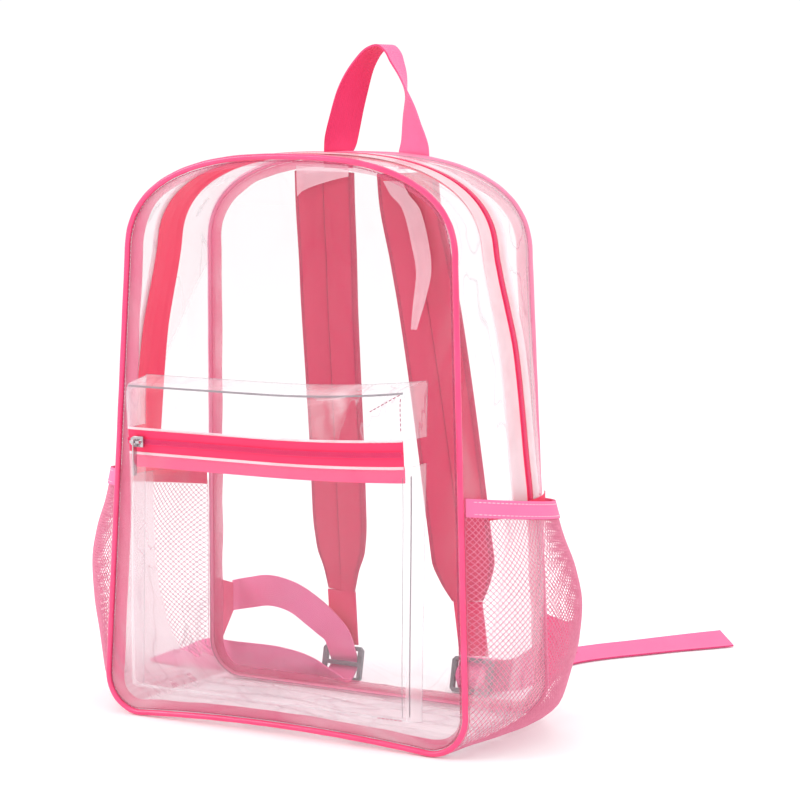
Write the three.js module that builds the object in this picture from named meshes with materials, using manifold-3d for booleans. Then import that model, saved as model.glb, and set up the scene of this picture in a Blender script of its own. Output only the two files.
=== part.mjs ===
// A clear vinyl backpack with pink webbing and piping, standing empty on the floor.
// Sizes are in millimetres. The floor is z = 0, the front faces -y and x runs to the bag's left as worn.
import * as THREE from 'three';
import Module from 'manifold-3d';
import { mergeVertices } from 'three/addons/utils/BufferGeometryUtils.js';

const wasm = await Module();
wasm.setup();

// Body
const bodyHeight = 420;
const baseWidth = 305;
const topWidth = 276;
const backBaseWidth = 298;
const backTopWidth = 279;
const baseDepth = 139;
const topDepth = 108;
const frontLean = 14;
const topArchHeight = 74;
const topArchPower = 2.47;
const baseCornerRadius = 28;
const frontHemRise = 5;
const sideSwell = 23;
const baseSag = 12;

// Materials by thickness, and the gap that separate pieces keep
const sheetWall = 1;
const tapeWall = 0.8;
const webbingWall = 1.6;
const pieceGap = 0.3;

// Piping, seam tape and the main zip
const pipingRadius = 2.2;
const seamTapeWidth = 7;
const zipEndHeight = 172;
const zipWidth = 26;
const zipPlace = 0.5;
const zipToothHeight = 1.4;
const jointTapeHeight = 9;

// Front pocket
const pocketHalfWidth = 119;
const pocketFoot = 24;
const pocketHeight = 234;
const pocketDepth = 25;
const pocketSkew = 8;
const pocketZipHeight = 17;
const pocketZipShare = 0.805;
const pocketZipTooth = 1.1;

// Net pockets on both sides
const netFrontTop = 185;
const netBackTop = 169;
const netFoot = 6;
const netSwell = 56;
const netWall = 1.2;
const netOpening = 0.74;
const bindingHeight = 13;
const bindingWall = 2.2;

// Carrying handle
const webbingWidth = 25;
const handleHalfSpan = 32.6;
const handleRise = 78.4;
const handleOffset = 10;
const handleTail = 11;
const handleLean = 12;
const handleClear = 2.6;

// Shoulder straps
const strapWidth = 52;
const strapPadding = 7;
const strapSplay = 9.5;
const strapTopDrop = 14;
const strapStand = 42;
const strapFoot = 74;
const strapEdgeShare = 0.82;

// Ladder lock buckles
const buckleRim = 5.5;
const buckleWidth = webbingWidth + 2 * buckleRim;
const buckleHeight = 28;
const buckleWall = 4;
const buckleBar = 3.4;
const buckleCorner = 2.7;
const lockSlotEase = 0.8;
const lockTilt = 12;
const lockShift = { left: [-0.5, 2], right: [3, 2] };
const lockStripSteps = [0.35, 0.7];

// Zip sliders and their pulls
const sliderWidth = 8;
const sliderLength = 11;
const sliderWall = 2.4;
const sliderBridge = 3.6;
const sliderWindow = 2.2;
const sliderBarWidth = 2;
const sliderNose = 0.6;
const bridgeShare = 0.75;
const pullLength = 27;
const pullWall = 1;
const pullRim = 1;
const pullTaper = 0.6;
const pullEase = 0.6;
const pocketSliderPlace = -0.88;

const V = (x, y, z) => new THREE.Vector3(x, y, z);
const mix = THREE.MathUtils.lerp;
const radians = THREE.MathUtils.degToRad;

// Reads a table of rows at a share: row[0] is the share, the other columns are blended between rows
function readTable(table, share) {
  const last = table.length - 2;
  let i = 0;
  while (i < last && share > table[i + 1][0]) i += 1;
  const [low, high] = [table[i], table[i + 1]];
  const part = THREE.MathUtils.clamp((share - low[0]) / (high[0] - low[0]), 0, 1);
  return low.slice(1).map((value, k) => mix(value, high[k + 1], part));
}

// Closed body from corners and triangles, turned so that its faces point out
function bodyFrom(corners, faces) {
  let volume = 0;
  for (const [a, b, c] of faces) {
    volume += corners[a].dot(corners[b].clone().cross(corners[c])) / 6;
  }
  const turned = volume < 0 ? faces.map(([a, b, c]) => [a, c, b]) : faces;
  const geometry = new THREE.BufferGeometry().setFromPoints(corners);
  geometry.setIndex(turned.flat());
  geometry.computeVertexNormals();
  return geometry;
}

// Solid through a row of rings with the same number of corners, joined up at its ends or capped
function loft(rings, joined = false) {
  const count = rings[0].length;
  const faces = [];
  const spans = joined ? rings.length : rings.length - 1;
  for (let i = 0; i < spans; i += 1) {
    const here = i * count;
    const next = ((i + 1) % rings.length) * count;
    for (let k = 0; k < count; k += 1) {
      const m = (k + 1) % count;
      faces.push([here + k, here + m, next + m], [here + k, next + m, next + k]);
    }
  }
  if (!joined) {
    const end = (rings.length - 1) * count;
    for (let k = 1; k < count - 1; k += 1) {
      faces.push([0, k + 1, k], [end, end + k, end + k + 1]);
    }
  }
  return bodyFrom(rings.flat(), faces);
}

// Outward normals of a grid of points whose rows run round the bag and whose columns run front to back
function gridNormals(grid) {
  const rows = grid.length - 1;
  const columns = grid[0].length - 1;
  return grid.map((row, i) => row.map((point, j) => {
    const along = grid[Math.min(i + 1, rows)][j].clone().sub(grid[Math.max(i - 1, 0)][j]);
    const across = grid[i][Math.min(j + 1, columns)].clone().sub(grid[i][Math.max(j - 1, 0)]);
    return across.cross(along).normalize();
  }));
}

// Sheet with a wall of its own thickness on both sides of a grid of points; ridge adds outer height to a
// point by its row and column
function sheet(grid, wall, ridge = () => 0) {
  const normals = gridNormals(grid);
  const rows = grid.length;
  const columns = grid[0].length;
  const side = (reach) => grid.flatMap((row, i) => row.map((point, j) => (
    point.clone().addScaledVector(normals[i][j], reach(i, j)))));
  const corners = [...side((i, j) => wall / 2 + ridge(i, j)), ...side(() => -wall / 2)];
  const faces = [];
  const quad = (a, b, c, d) => faces.push([a, b, c], [a, c, d]);
  const inner = rows * columns;
  for (let i = 0; i < rows - 1; i += 1) {
    for (let j = 0; j < columns - 1; j += 1) {
      const a = i * columns + j;
      quad(a, a + 1, a + columns + 1, a + columns);
      quad(inner + a, inner + a + columns, inner + a + columns + 1, inner + a + 1);
    }
  }
  const wallBetween = (a, b) => quad(b, a, inner + a, inner + b);
  for (let j = 0; j < columns - 1; j += 1) {
    wallBetween(j, j + 1);
    wallBetween((rows - 1) * columns + j + 1, (rows - 1) * columns + j);
  }
  for (let i = 0; i < rows - 1; i += 1) {
    wallBetween((i + 1) * columns, i * columns);
    wallBetween(i * columns + columns - 1, (i + 1) * columns + columns - 1);
  }
  return bodyFrom(corners, faces);
}

// Netting: the same sheet with a diamond opening cut through every cell of the grid
function netting(grid, wall, opening) {
  const normals = gridNormals(grid);
  const rows = grid.length;
  const columns = grid[0].length;
  const corners = [];
  const faces = [];
  for (const reach of [wall / 2, -wall / 2]) {
    grid.forEach((row, i) => row.forEach((point, j) => {
      corners.push(point.clone().addScaledVector(normals[i][j], reach));
    }));
  }
  const inner = rows * columns;
  for (let i = 0; i < rows - 1; i += 1) {
    for (let j = 0; j < columns - 1; j += 1) {
      const a = i * columns + j;
      const cell = [a, a + 1, a + columns + 1, a + columns];
      const holes = [0, inner].map((layer) => {
        const round = cell.map((index) => corners[layer + index]);
        const centre = round.reduce((sum, point) => sum.add(point), V(0, 0, 0)).multiplyScalar(1 / 4);
        return round.map((point, k) => {
          const middle = point.clone().lerp(round[(k + 1) % 4], 1 / 2);
          return corners.push(centre.clone().lerp(middle, opening)) - 1;
        });
      });
      for (let k = 0; k < 4; k += 1) {
        const m = (k + 1) % 4;
        faces.push([cell[k], cell[m], holes[0][k]], [cell[m], holes[0][m], holes[0][k]]);
        faces.push([inner + cell[m], inner + cell[k], holes[1][k]]);
        faces.push([holes[1][m], inner + cell[m], holes[1][k]]);
        faces.push([holes[0][k], holes[0][m], holes[1][m]], [holes[0][k], holes[1][m], holes[1][k]]);
      }
    }
  }
  const wallBetween = (a, b) => faces.push([b, a, inner + a], [b, inner + a, inner + b]);
  for (let j = 0; j < columns - 1; j += 1) {
    wallBetween(j, j + 1);
    wallBetween((rows - 1) * columns + j + 1, (rows - 1) * columns + j);
  }
  for (let i = 0; i < rows - 1; i += 1) {
    wallBetween((i + 1) * columns, i * columns);
    wallBetween(i * columns + columns - 1, (i + 1) * columns + columns - 1);
  }
  return bodyFrom(corners, faces);
}

// Flat band through stations {at, hint, width, wall}: hint points along the band's width
function ribbon(stations, rounded = false) {
  const rings = stations.map((station, i) => {
    const before = stations[Math.max(i - 1, 0)].at;
    const after = stations[Math.min(i + 1, stations.length - 1)].at;
    const along = after.clone().sub(before).normalize();
    const across = station.hint.clone().addScaledVector(along, -station.hint.dot(along)).normalize();
    const face = along.clone().cross(across);
    const corner = (u, w) => station.at.clone()
      .addScaledVector(across, u * station.width / 2)
      .addScaledVector(face, w * station.wall / 2);
    return rounded
      ? [corner(-1, 0), corner(-strapEdgeShare, -1), corner(0, -1), corner(strapEdgeShare, -1),
        corner(1, 0), corner(strapEdgeShare, 1), corner(0, 1), corner(-strapEdgeShare, 1)]
      : [corner(-1, -1), corner(1, -1), corner(1, 1), corner(-1, 1)];
  });
  return loft(rings);
}

// Plate from an outline in x and z, laid on a leaning plane: depthAt gives y for a height
function plateOn(depthAt, outline, wall, hole) {
  const shape = new THREE.Shape(outline.map((p) => new THREE.Vector2(p.x, p.z)));
  if (hole) shape.holes.push(new THREE.Path(hole.map((p) => new THREE.Vector2(p.x, p.z))));
  const geometry = new THREE.ExtrudeGeometry(shape, { depth: wall, bevelEnabled: false });
  geometry.translate(0, 0, -wall / 2);
  const place = geometry.getAttribute('position');
  for (let i = 0; i < place.count; i += 1) {
    const [x, z, y] = [place.getX(i), place.getY(i), place.getZ(i)];
    place.setXYZ(i, x, depthAt(z) - y, z);
  }
  return geometry;
}

// Boolean work on closed meshes
function asSolid(geometry) {
  const bare = geometry.clone();
  bare.deleteAttribute('normal');
  bare.deleteAttribute('uv');
  const merged = mergeVertices(bare, 1e-4);
  return new wasm.Manifold(new wasm.Mesh({
    numProp: 3,
    vertProperties: new Float32Array(merged.getAttribute('position').array),
    triVerts: new Uint32Array(merged.index.array),
  }));
}

function asGeometry(solid) {
  const mesh = solid.getMesh();
  const geometry = new THREE.BufferGeometry();
  geometry.setAttribute('position', new THREE.BufferAttribute(new Float32Array(mesh.vertProperties), 3));
  geometry.setIndex(new THREE.BufferAttribute(new Uint32Array(mesh.triVerts), 1));
  geometry.computeVertexNormals();
  return geometry;
}

// Depth of the front and back planes at a height; both lean
const frontY = (z) => -baseDepth / 2 + frontLean * z / bodyHeight;
const backY = (z) => frontY(z) + mix(baseDepth, topDepth, z / bodyHeight);

// Outline of one panel, right half from the middle of the foot to the middle of the arch
const footShares = [0.22, 0.6, 1];
const cornerSteps = 4;
const lowSideSteps = 4;
const highSideSteps = 4;
const archSteps = 8;
const cornerTop = pipingRadius + baseCornerRadius;
const archFoot = bodyHeight - topArchHeight;

function halfOutline(lowWidth, highWidth, rise) {
  const points = [];
  const add = (x, z) => points.push({ x, z });
  const flatHalf = lowWidth / 2 - baseCornerRadius;
  for (const share of footShares) add(flatHalf * share, pipingRadius + rise * (1 - share ** 2));
  for (let k = 1; k <= cornerSteps; k += 1) {
    const turn = radians(90) * k / cornerSteps;
    add(flatHalf + baseCornerRadius * Math.sin(turn), cornerTop - baseCornerRadius * Math.cos(turn));
  }
  const sideX = (z) => mix(lowWidth / 2, highWidth / 2, (z - cornerTop) / (archFoot - cornerTop));
  for (let k = 1; k <= lowSideSteps; k += 1) {
    const z = mix(cornerTop, zipEndHeight, k / lowSideSteps);
    add(sideX(z), z);
  }
  for (let k = 1; k <= highSideSteps; k += 1) {
    const z = mix(zipEndHeight, archFoot, k / highSideSteps);
    add(sideX(z), z);
  }
  for (let k = 1; k <= archSteps; k += 1) {
    const turn = radians(90) * k / archSteps;
    const power = 2 / topArchPower;
    const across = k === archSteps ? 0 : Math.cos(turn) ** power;
    add(highWidth / 2 * across, archFoot + topArchHeight * Math.sin(turn) ** power);
  }
  return points;
}

// Whole outline, counterclockwise seen from the front, with an outward normal at each point
function wholeOutline(lowWidth, highWidth, rise) {
  const right = halfOutline(lowWidth, highWidth, rise);
  const left = right.slice(0, -1).reverse().map((p) => ({ x: -p.x, z: p.z }));
  const loop = [...right, ...left];
  return loop.map((p, i) => {
    const before = loop[(i + loop.length - 1) % loop.length];
    const after = loop[(i + 1) % loop.length];
    const reach = Math.hypot(after.x - before.x, after.z - before.z);
    return { ...p, nx: (after.z - before.z) / reach, nz: -(after.x - before.x) / reach };
  });
}

const inset = (outline, reach) => outline.map((p) => ({ x: p.x - p.nx * reach, z: p.z - p.nz * reach }));

const frontOutline = wholeOutline(baseWidth, topWidth, frontHemRise);
const backOutline = wholeOutline(backBaseWidth, backTopWidth, 0);
const loopCount = frontOutline.length;
const zipEndIndex = footShares.length + cornerSteps + lowSideSteps - 1;

// Columns: share of the body's height, share of the side's swell
const swellTable = [
  [0, 0.02],
  [0.025, 0.09],
  [0.07, 0.38],
  [0.15, 0.65],
  [0.27, 0.9],
  [0.41, 0.98],
  [0.5, 0.87],
  [0.6, 0.75],
  [0.68, 0.61],
  [0.74, 0.4],
  [0.8, 0.17],
  [0.85, 0.04],
  [1, 0.04],
];

// How a swell spreads from the front seam (0) to the back seam (1)
const swellPower = 0.8;
const swellProfile = (v) => Math.sin(Math.PI * THREE.MathUtils.clamp(v, 0, 1)) ** swellPower;
const seamReach = pipingRadius + pieceGap;
const footPower = 12;

// Point of the bag's side skin at outline station i, v from the front seam to the back seam
function skinPoint(i, v, stand = 0) {
  const front = frontOutline[(i + loopCount) % loopCount];
  const back = backOutline[(i + loopCount) % loopCount];
  const z = mix(front.z, back.z, v);
  const foot = Math.max(-front.nz, 0) * (front.z < cornerTop ? 1 : 0);
  const swell = mix(sideSwell * readTable(swellTable, z / bodyHeight)[0], baseSag, foot ** footPower);
  const out = V(mix(front.nx, back.nx, v), 0, mix(front.nz, back.nz, v)).normalize();
  const point = V(
    mix(front.x, back.x, v),
    mix(frontY(z) + seamReach, backY(z) - seamReach, v),
    z,
  );
  point.addScaledVector(out, stand + swell * swellProfile(v));
  point.z = Math.max(point.z, sheetWall / 2);
  return point;
}

function skinGrid(from, to, columns, stand = 0) {
  const grid = [];
  for (let i = from; i <= to; i += 1) grid.push(columns.map((v) => skinPoint(i, v, stand)));
  return grid;
}

const meanDepth = (baseDepth + topDepth) / 2;
const zipHalfShare = zipWidth / 2 / meanDepth;
const gapShare = pieceGap / topDepth;
const zipFront = zipPlace - zipHalfShare;
const zipBack = zipPlace + zipHalfShare;
const lastUpper = loopCount - 1 - zipEndIndex;
const spread = (low, high, shares) => shares.map((share) => mix(low, high, share));

const bag = new THREE.Group();
const pinks = { bright: '#f5457f', deep: '#ee2f6b', pale: '#f9a9c8', rose: '#df6382' };
const finishes = {
  vinyl: { color: '#f2eef0', roughness: 0.12, metalness: 0, transparent: true, opacity: 0.3 },
  piping: { color: pinks.bright, roughness: 0.35, metalness: 0 },
  tape: { color: pinks.pale, roughness: 0.6, metalness: 0 },
  zip: { color: pinks.deep, roughness: 0.6, metalness: 0 },
  webbing: { color: pinks.bright, roughness: 0.7, metalness: 0 },
  padding: { color: pinks.rose, roughness: 0.75, metalness: 0 },
  net: { color: pinks.pale, roughness: 0.7, metalness: 0 },
  buckle: { color: '#8d8d8f', roughness: 0.4, metalness: 0 },
  metal: { color: '#d9d4d6', roughness: 0.3, metalness: 0.8 },
};

function addPiece(name, geometry, finish) {
  const piece = new THREE.Mesh(geometry, new THREE.MeshStandardMaterial(finishes[finish]));
  piece.name = name;
  bag.add(piece);
  return piece;
}

// Front and back panels, each held inside its piping
const panelInset = pipingRadius + pieceGap;
addPiece('front_panel', plateOn(frontY, inset(frontOutline, panelInset), sheetWall), 'vinyl');
addPiece('back_panel', plateOn(backY, inset(backOutline, panelInset), sheetWall), 'vinyl');

// Piping cord round each panel
function pipingLoop(outline, depthAt) {
  const sides = 6;
  const rings = outline.map((p) => {
    const ring = [];
    for (let k = 0; k < sides; k += 1) {
      const turn = radians(360) * (k + 0.5) / sides;
      const out = pipingRadius * Math.cos(turn);
      const x = p.x + p.nx * out;
      const z = p.z + p.nz * out;
      ring.push(V(x, depthAt(p.z) + pipingRadius * Math.sin(turn), z));
    }
    return ring;
  });
  return loft(rings, true);
}

addPiece('piping_front', pipingLoop(frontOutline, frontY), 'piping');
addPiece('piping_back', pipingLoop(backOutline, backY), 'piping');

// Seam tape: a flat band inside each panel's edge, on the side of the panel that faces the inside
function seamTape(outline, depthAt, inward) {
  const outer = inset(outline, panelInset + sheetWall);
  const inner = inset(outline, panelInset + sheetWall + seamTapeWidth);
  const reach = inward * (sheetWall / 2 + pieceGap + tapeWall / 2);
  return plateOn((z) => depthAt(z) + reach, outer, tapeWall, inner);
}

addPiece('seam_tape_front', seamTape(frontOutline, frontY, 1), 'tape');
addPiece('seam_tape_back', seamTape(backOutline, backY, -1), 'tape');

// Upper side and top: two clear strips with the main zip between them
const frontColumns = spread(0, zipFront - gapShare, [0, 0.3, 0.65, 1]);
const backColumns = spread(zipBack + gapShare, 1, [0, 0.35, 0.7, 1]);
addPiece('top_strip_front', sheet(skinGrid(zipEndIndex, lastUpper, frontColumns), sheetWall), 'vinyl');
addPiece('top_strip_back', sheet(skinGrid(zipEndIndex, lastUpper, backColumns), sheetWall), 'vinyl');

const zipColumns = spread(zipFront, zipBack, [0, 0.36, 0.5, 0.64, 1]);
const zipRows = lastUpper - zipEndIndex;
const zipRidge = (i, j) => (j === 2 && i > 0 && i < zipRows ? zipToothHeight : 0);
addPiece('main_zip', sheet(skinGrid(zipEndIndex, lastUpper, zipColumns), sheetWall, zipRidge), 'zip');

// Lower sides and base in one strip, which sags until it lies on the floor
const baseColumns = [0, 0.07, 0.22, 0.6, 0.85, 1];
const baseGrid = skinGrid(lastUpper, loopCount + zipEndIndex, baseColumns);
const lowerEdge = pieceGap / (zipEndHeight - cornerTop) * lowSideSteps;
for (const [end, next] of [[0, 1], [baseGrid.length - 1, baseGrid.length - 2]]) {
  baseGrid[end] = baseGrid[end].map((point, j) => point.clone().lerp(baseGrid[next][j], lowerEdge));
}
addPiece('base_strip', sheet(baseGrid, sheetWall), 'vinyl');

// Tape over the joint between the zipped strips and the base strip, on each side
function jointTape(side) {
  const columns = spread(0.12, 0.88, [0, 0.2, 0.4, 0.6, 0.8, 1]);
  const stand = sheetWall / 2 + zipToothHeight + pieceGap + tapeWall / 2;
  const half = jointTapeHeight / 2;
  const rows = [-1, 1].map((end) => columns.map((v) => {
    const index = zipEndIndex;
    const here = skinPoint(index, v, stand);
    const beside = skinPoint(index + end, v, stand);
    return here.lerp(beside, half / here.distanceTo(beside));
  }));
  const placed = rows.map((row) => row.map((p) => V(side * p.x, p.y, p.z)));
  return sheet(side > 0 ? placed : placed.reverse(), tapeWall);
}

addPiece('joint_tape_right', jointTape(1), 'zip');
addPiece('joint_tape_left', jointTape(-1), 'zip');

// Net pockets. Columns: share of the pocket's height, share of the net's swell
const netTable = [
  [0, 0.07],
  [0.034, 0.3],
  [0.08, 0.48],
  [0.135, 0.62],
  [0.26, 0.78],
  [0.42, 0.94],
  [0.58, 1],
  [0.72, 0.92],
  [0.86, 0.74],
  [1, 0.6],
];
const netStand = sheetWall / 2 + pieceGap + netWall;

function outlineX(z, lowWidth, highWidth) {
  if (z >= cornerTop) {
    return mix(lowWidth / 2, highWidth / 2, (z - cornerTop) / (archFoot - cornerTop));
  }
  const drop = (cornerTop - z) / baseCornerRadius;
  return lowWidth / 2 - baseCornerRadius + baseCornerRadius * Math.sqrt(Math.max(1 - drop ** 2, 0));
}

function netPoint(share, v, side, stand) {
  const top = mix(netFrontTop, netBackTop, v);
  const z = mix(netFoot, top, share);
  const seam = mix(outlineX(z, baseWidth, topWidth), outlineX(z, backBaseWidth, backTopWidth), v);
  const drop = Math.max((cornerTop - z) / baseCornerRadius, 0);
  const swell = netSwell * readTable(netTable, share)[0] * swellProfile(v);
  const reach = stand * Math.sqrt(1 - drop ** 2) + swell;
  const y = mix(frontY(z) + seamReach, backY(z) - seamReach, v);
  return V(side * (seam + reach), y, z - stand * drop);
}

function netGrid(shares, columns, side, stand) {
  const grid = shares.map((share) => columns.map((v) => netPoint(share, v, side, stand)));
  return side > 0 ? grid : grid.reverse();
}

const netColumns = [0, 0.1, 0.25, 0.42, 0.58, 0.75, 0.9, 1];
const bindingShare = bindingHeight / (netFrontTop - netFoot);
const netTop = 1 - bindingShare - pieceGap / (netBackTop - netFoot);
const netShares = spread(0, netTop, [0, 0.037, 0.087, 0.147, 0.31, 0.48, 0.65, 0.83, 1]);
const bindingColumns = [0, 0.1, 0.25, 0.42, 0.58, 0.75, 0.9, 1];
const bindingStand = netStand + (bindingWall - netWall) / 2;

for (const [name, side] of [['right', 1], ['left', -1]]) {
  const net = netGrid(netShares, netColumns, side, netStand);
  addPiece(`net_pocket_${name}`, netting(net, netWall, netOpening), 'net');
  const band = netGrid([1 - bindingShare, 1], bindingColumns, side, bindingStand);
  addPiece(`net_binding_${name}`, sheet(band, bindingWall), 'webbing');
}

// Front pocket. Columns: share of the pocket's height, share of the pocket's depth
const pocketTable = [
  [0, 0.06],
  [0.008, 0.55],
  [0.025, 0.82],
  [0.2, 0.9],
  [0.55, 0.96],
  [0.72, 1.02],
  [0.86, 1.18],
  [0.95, 1.26],
  [0.982, 1.12],
  [1, 0.06],
];
// Columns: share of the pocket's half width, share of the depth that the side wall lets it have
const pocketSides = [
  [0, 1],
  [0.55, 1],
  [0.93, 1],
  [0.975, 0.96],
  [1, 0.03],
];
const pocketStand = sheetWall + pieceGap;
const pocketColumns = [-1, -0.975, -0.93, -0.55, 0, 0.55, 0.93, 0.975, 1];

function pocketPoint(u, share, stand = 0) {
  const lift = pocketSkew * Math.max(u, 0) ** 2 * share ** 2;
  const z = pocketFoot + pocketHeight * share + lift;
  const depth = pocketDepth * readTable(pocketTable, share)[0] * readTable(pocketSides, Math.abs(u))[0];
  return V(pocketHalfWidth * u, frontY(z) - pocketStand - depth - stand, z);
}

// Rows run down the front and columns run from right to left, so that the normals point to the front
function pocketGrid(shares, stand = 0) {
  const columns = [...pocketColumns].reverse();
  return shares.map((share) => columns.map((u) => pocketPoint(u, share, stand))).reverse();
}

const pocketZipHalf = pocketZipHeight / 2 / pocketHeight;
const pocketGap = pieceGap / pocketHeight;
const zipLow = pocketZipShare - pocketZipHalf;
const zipHigh = pocketZipShare + pocketZipHalf;
const pocketRows = [0, 0.008, 0.025, 0.2, 0.55, zipLow - pocketGap];
const flapRows = [zipHigh + pocketGap, 0.9, 0.95, 0.982, 1];
const pocketZipRows = spread(zipLow, zipHigh, [0, 0.5, 1]);
addPiece('pocket_front', sheet(pocketGrid(pocketRows), sheetWall), 'vinyl');
addPiece('pocket_flap', sheet(pocketGrid(flapRows), sheetWall), 'vinyl');
const pocketRidge = (i) => (i === 1 ? pocketZipTooth : 0);
addPiece('pocket_zip', sheet(pocketGrid(pocketZipRows), sheetWall, pocketRidge), 'zip');

// Carrying handle: webbing sewn in the back seam at both ends, with half a turn over its arch. Columns:
// share of half its span, share of its rise, turn of the webbing's width in degrees
const handleTable = [
  [-1, 0, 0],
  [-0.954, 0.107, 24],
  [-0.908, 0.222, 40],
  [-0.735, 0.566, 57],
  [-0.468, 0.834, 78],
  [-0.215, 0.962, 85],
  [0.031, 1, 90],
  [0.246, 0.936, 93],
  [0.385, 0.834, 97],
  [0.538, 0.707, 107],
  [0.658, 0.566, 119],
  [0.8, 0.362, 140],
  [0.908, 0.184, 155],
  [0.963, 0.094, 166],
  [1, 0, 180],
];

function handleStations() {
  const stand = pipingRadius + pieceGap + webbingWall / 2;
  const station = (across, share, degrees, z) => ({
    at: V(handleOffset + across * handleHalfSpan, backY(bodyHeight) + stand + handleLean * share, z),
    hint: V(Math.cos(radians(degrees)), Math.sin(radians(degrees)), 0),
    width: webbingWidth,
    wall: webbingWall,
  });
  const arch = handleTable.map(([across, share, degrees]) => (
    station(across, share, degrees, bodyHeight + handleClear + handleRise * share)));
  const tailEnd = bodyHeight - handleTail;
  return [station(-1, 0, 0, tailEnd), ...arch, station(1, 0, 180, tailEnd)];
}

addPiece('handle', ribbon(handleStations()), 'webbing');

// Shoulder straps. Columns: share of the strap's drop, place of its middle as a share of half the base
// width, share of its stand off the back panel, share of its width, share of its padding
const strapTables = {
  left: [
    [0, -0.237, 0, 1, 1],
    [0.06, -0.24, 0.02, 1, 1],
    [0.2, -0.262, 0.2, 1, 1],
    [0.32, -0.28, 0.33, 1, 1],
    [0.5, -0.295, 0.5, 1, 1],
    [0.68, -0.303, 0.62, 1, 1],
    [0.82, -0.308, 0.68, 1, 0.95],
    [0.9, -0.308, 0.7, 0.9, 0.8],
    [0.95, -0.308, 0.7, 0.66, 0.6],
    [1, -0.31, 0.71, 0.5, 0.4],
  ],
  right: [
    [0, 0.237, 0, 1, 1],
    [0.06, 0.243, 0.02, 1, 1],
    [0.2, 0.275, 0.2, 1, 1],
    [0.32, 0.3, 0.34, 1, 1],
    [0.5, 0.328, 0.53, 1, 1],
    [0.68, 0.352, 0.7, 1, 1],
    [0.82, 0.37, 0.82, 1, 0.95],
    [0.9, 0.382, 0.88, 0.9, 0.8],
    [0.95, 0.39, 0.91, 0.66, 0.6],
    [1, 0.398, 0.94, 0.5, 0.4],
  ],
};
const strapTop = bodyHeight - strapTopDrop;
const strapClear = sheetWall / 2 + pieceGap + strapPadding / 2;

function strapStations(name, side) {
  return strapTables[name].map(([share, place, stand, width, padding]) => {
    const z = mix(strapTop, strapFoot, share);
    const splay = radians(strapSplay) * stand;
    return {
      at: V(place * baseWidth / 2, backY(z) + strapClear + strapStand * stand, z),
      hint: V(Math.cos(splay), side * Math.sin(splay), 0),
      width: strapWidth * width,
      wall: strapPadding * padding,
    };
  });
}

// Ladder lock: a plate with two slots whose middle bar carries the webbing
function ladderLock() {
  const [w, h] = [buckleWidth / 2, buckleHeight / 2];
  const corner = buckleCorner;
  const plate = new THREE.Shape();
  plate.moveTo(-w + corner, -h).lineTo(w - corner, -h).lineTo(w, -h + corner).lineTo(w, h - corner)
    .lineTo(w - corner, h).lineTo(-w + corner, h).lineTo(-w, h - corner).lineTo(-w, -h + corner);
  const slotHalf = (buckleHeight - 3 * buckleBar) / 4;
  for (const [side, ease] of [[1, lockSlotEase], [-1, 0]]) {
    const slot = new THREE.Path();
    const middle = side * (slotHalf + buckleBar / 2);
    const reach = w - buckleBar - ease;
    slot.moveTo(-reach, middle - slotHalf).lineTo(reach, middle - slotHalf)
      .lineTo(reach, middle + slotHalf).lineTo(-reach, middle + slotHalf);
    plate.holes.push(slot);
  }
  const geometry = new THREE.ExtrudeGeometry(plate, { depth: buckleWall, bevelEnabled: false });
  geometry.translate(0, 0, -buckleWall / 2);
  return geometry;
}

// A ladder lock hangs from each strap's end and stands on the floor; its top leans back
const lockUp = V(0, Math.sin(radians(lockTilt)), Math.cos(radians(lockTilt)));
const lockFront = V(0, -Math.cos(radians(lockTilt)), Math.sin(radians(lockTilt)));
const lockHalfRise = (lockUp.z * buckleHeight + lockFront.z * buckleWall) / 2;

// Webbing routes. Columns: share of half the base width, share of the base depth behind the back panel's
// foot, share of the webbing's width above the floor, then the direction of the webbing's width
const anchorRoutes = {
  left: [
    [-0.977, 0.21, 2.36, 0, 0, 1],
    [-0.965, 0.258, 2.36, 0, 0, 1],
    [-0.885, 0.277, 2.46, 0, 0, 1],
    [-0.774, 0.234, 2.62, 0, 0, 1],
    [-0.656, 0.19, 2.64, 0, 0, 1],
    [-0.55, 0.162, 2.52, 0.1, 0, 1],
    [-0.459, 0.155, 2.24, 0.35, 0, 0.9],
    [-0.385, 0.172, 1.88, 0.7, 0, 0.6],
    [-0.33, 0.2, 1.48, 1, 0, 0.2],
  ],
  right: [
    [1.03, 0.205, 2.24, 0, 0, -1],
    [1.02, 0.265, 2.24, 0, 0, -1],
    [0.955, 0.327, 2.02, 0, 0, -1],
    [0.859, 0.356, 1.56, 0, 0, -1],
    [0.76, 0.368, 1.1, 0, 0, -1],
    [0.682, 0.378, 0.776, 0, 0, -1],
    [0.603, 0.403, 0.576, 0, -0.15, -1],
    [0.541, 0.424, 0.49, 0.25, -0.3, -0.92],
    [0.489, 0.432, 0.435, 0.55, -0.37, -0.75],
    [0.448, 0.421, 0.33, 0.8, -0.28, -0.53],
    [0.425, 0.396, 0.18, 0.96, -0.12, -0.25],
    [0.418, 0.36, 0.084, 1, 0, 0],
  ],
};
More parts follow.
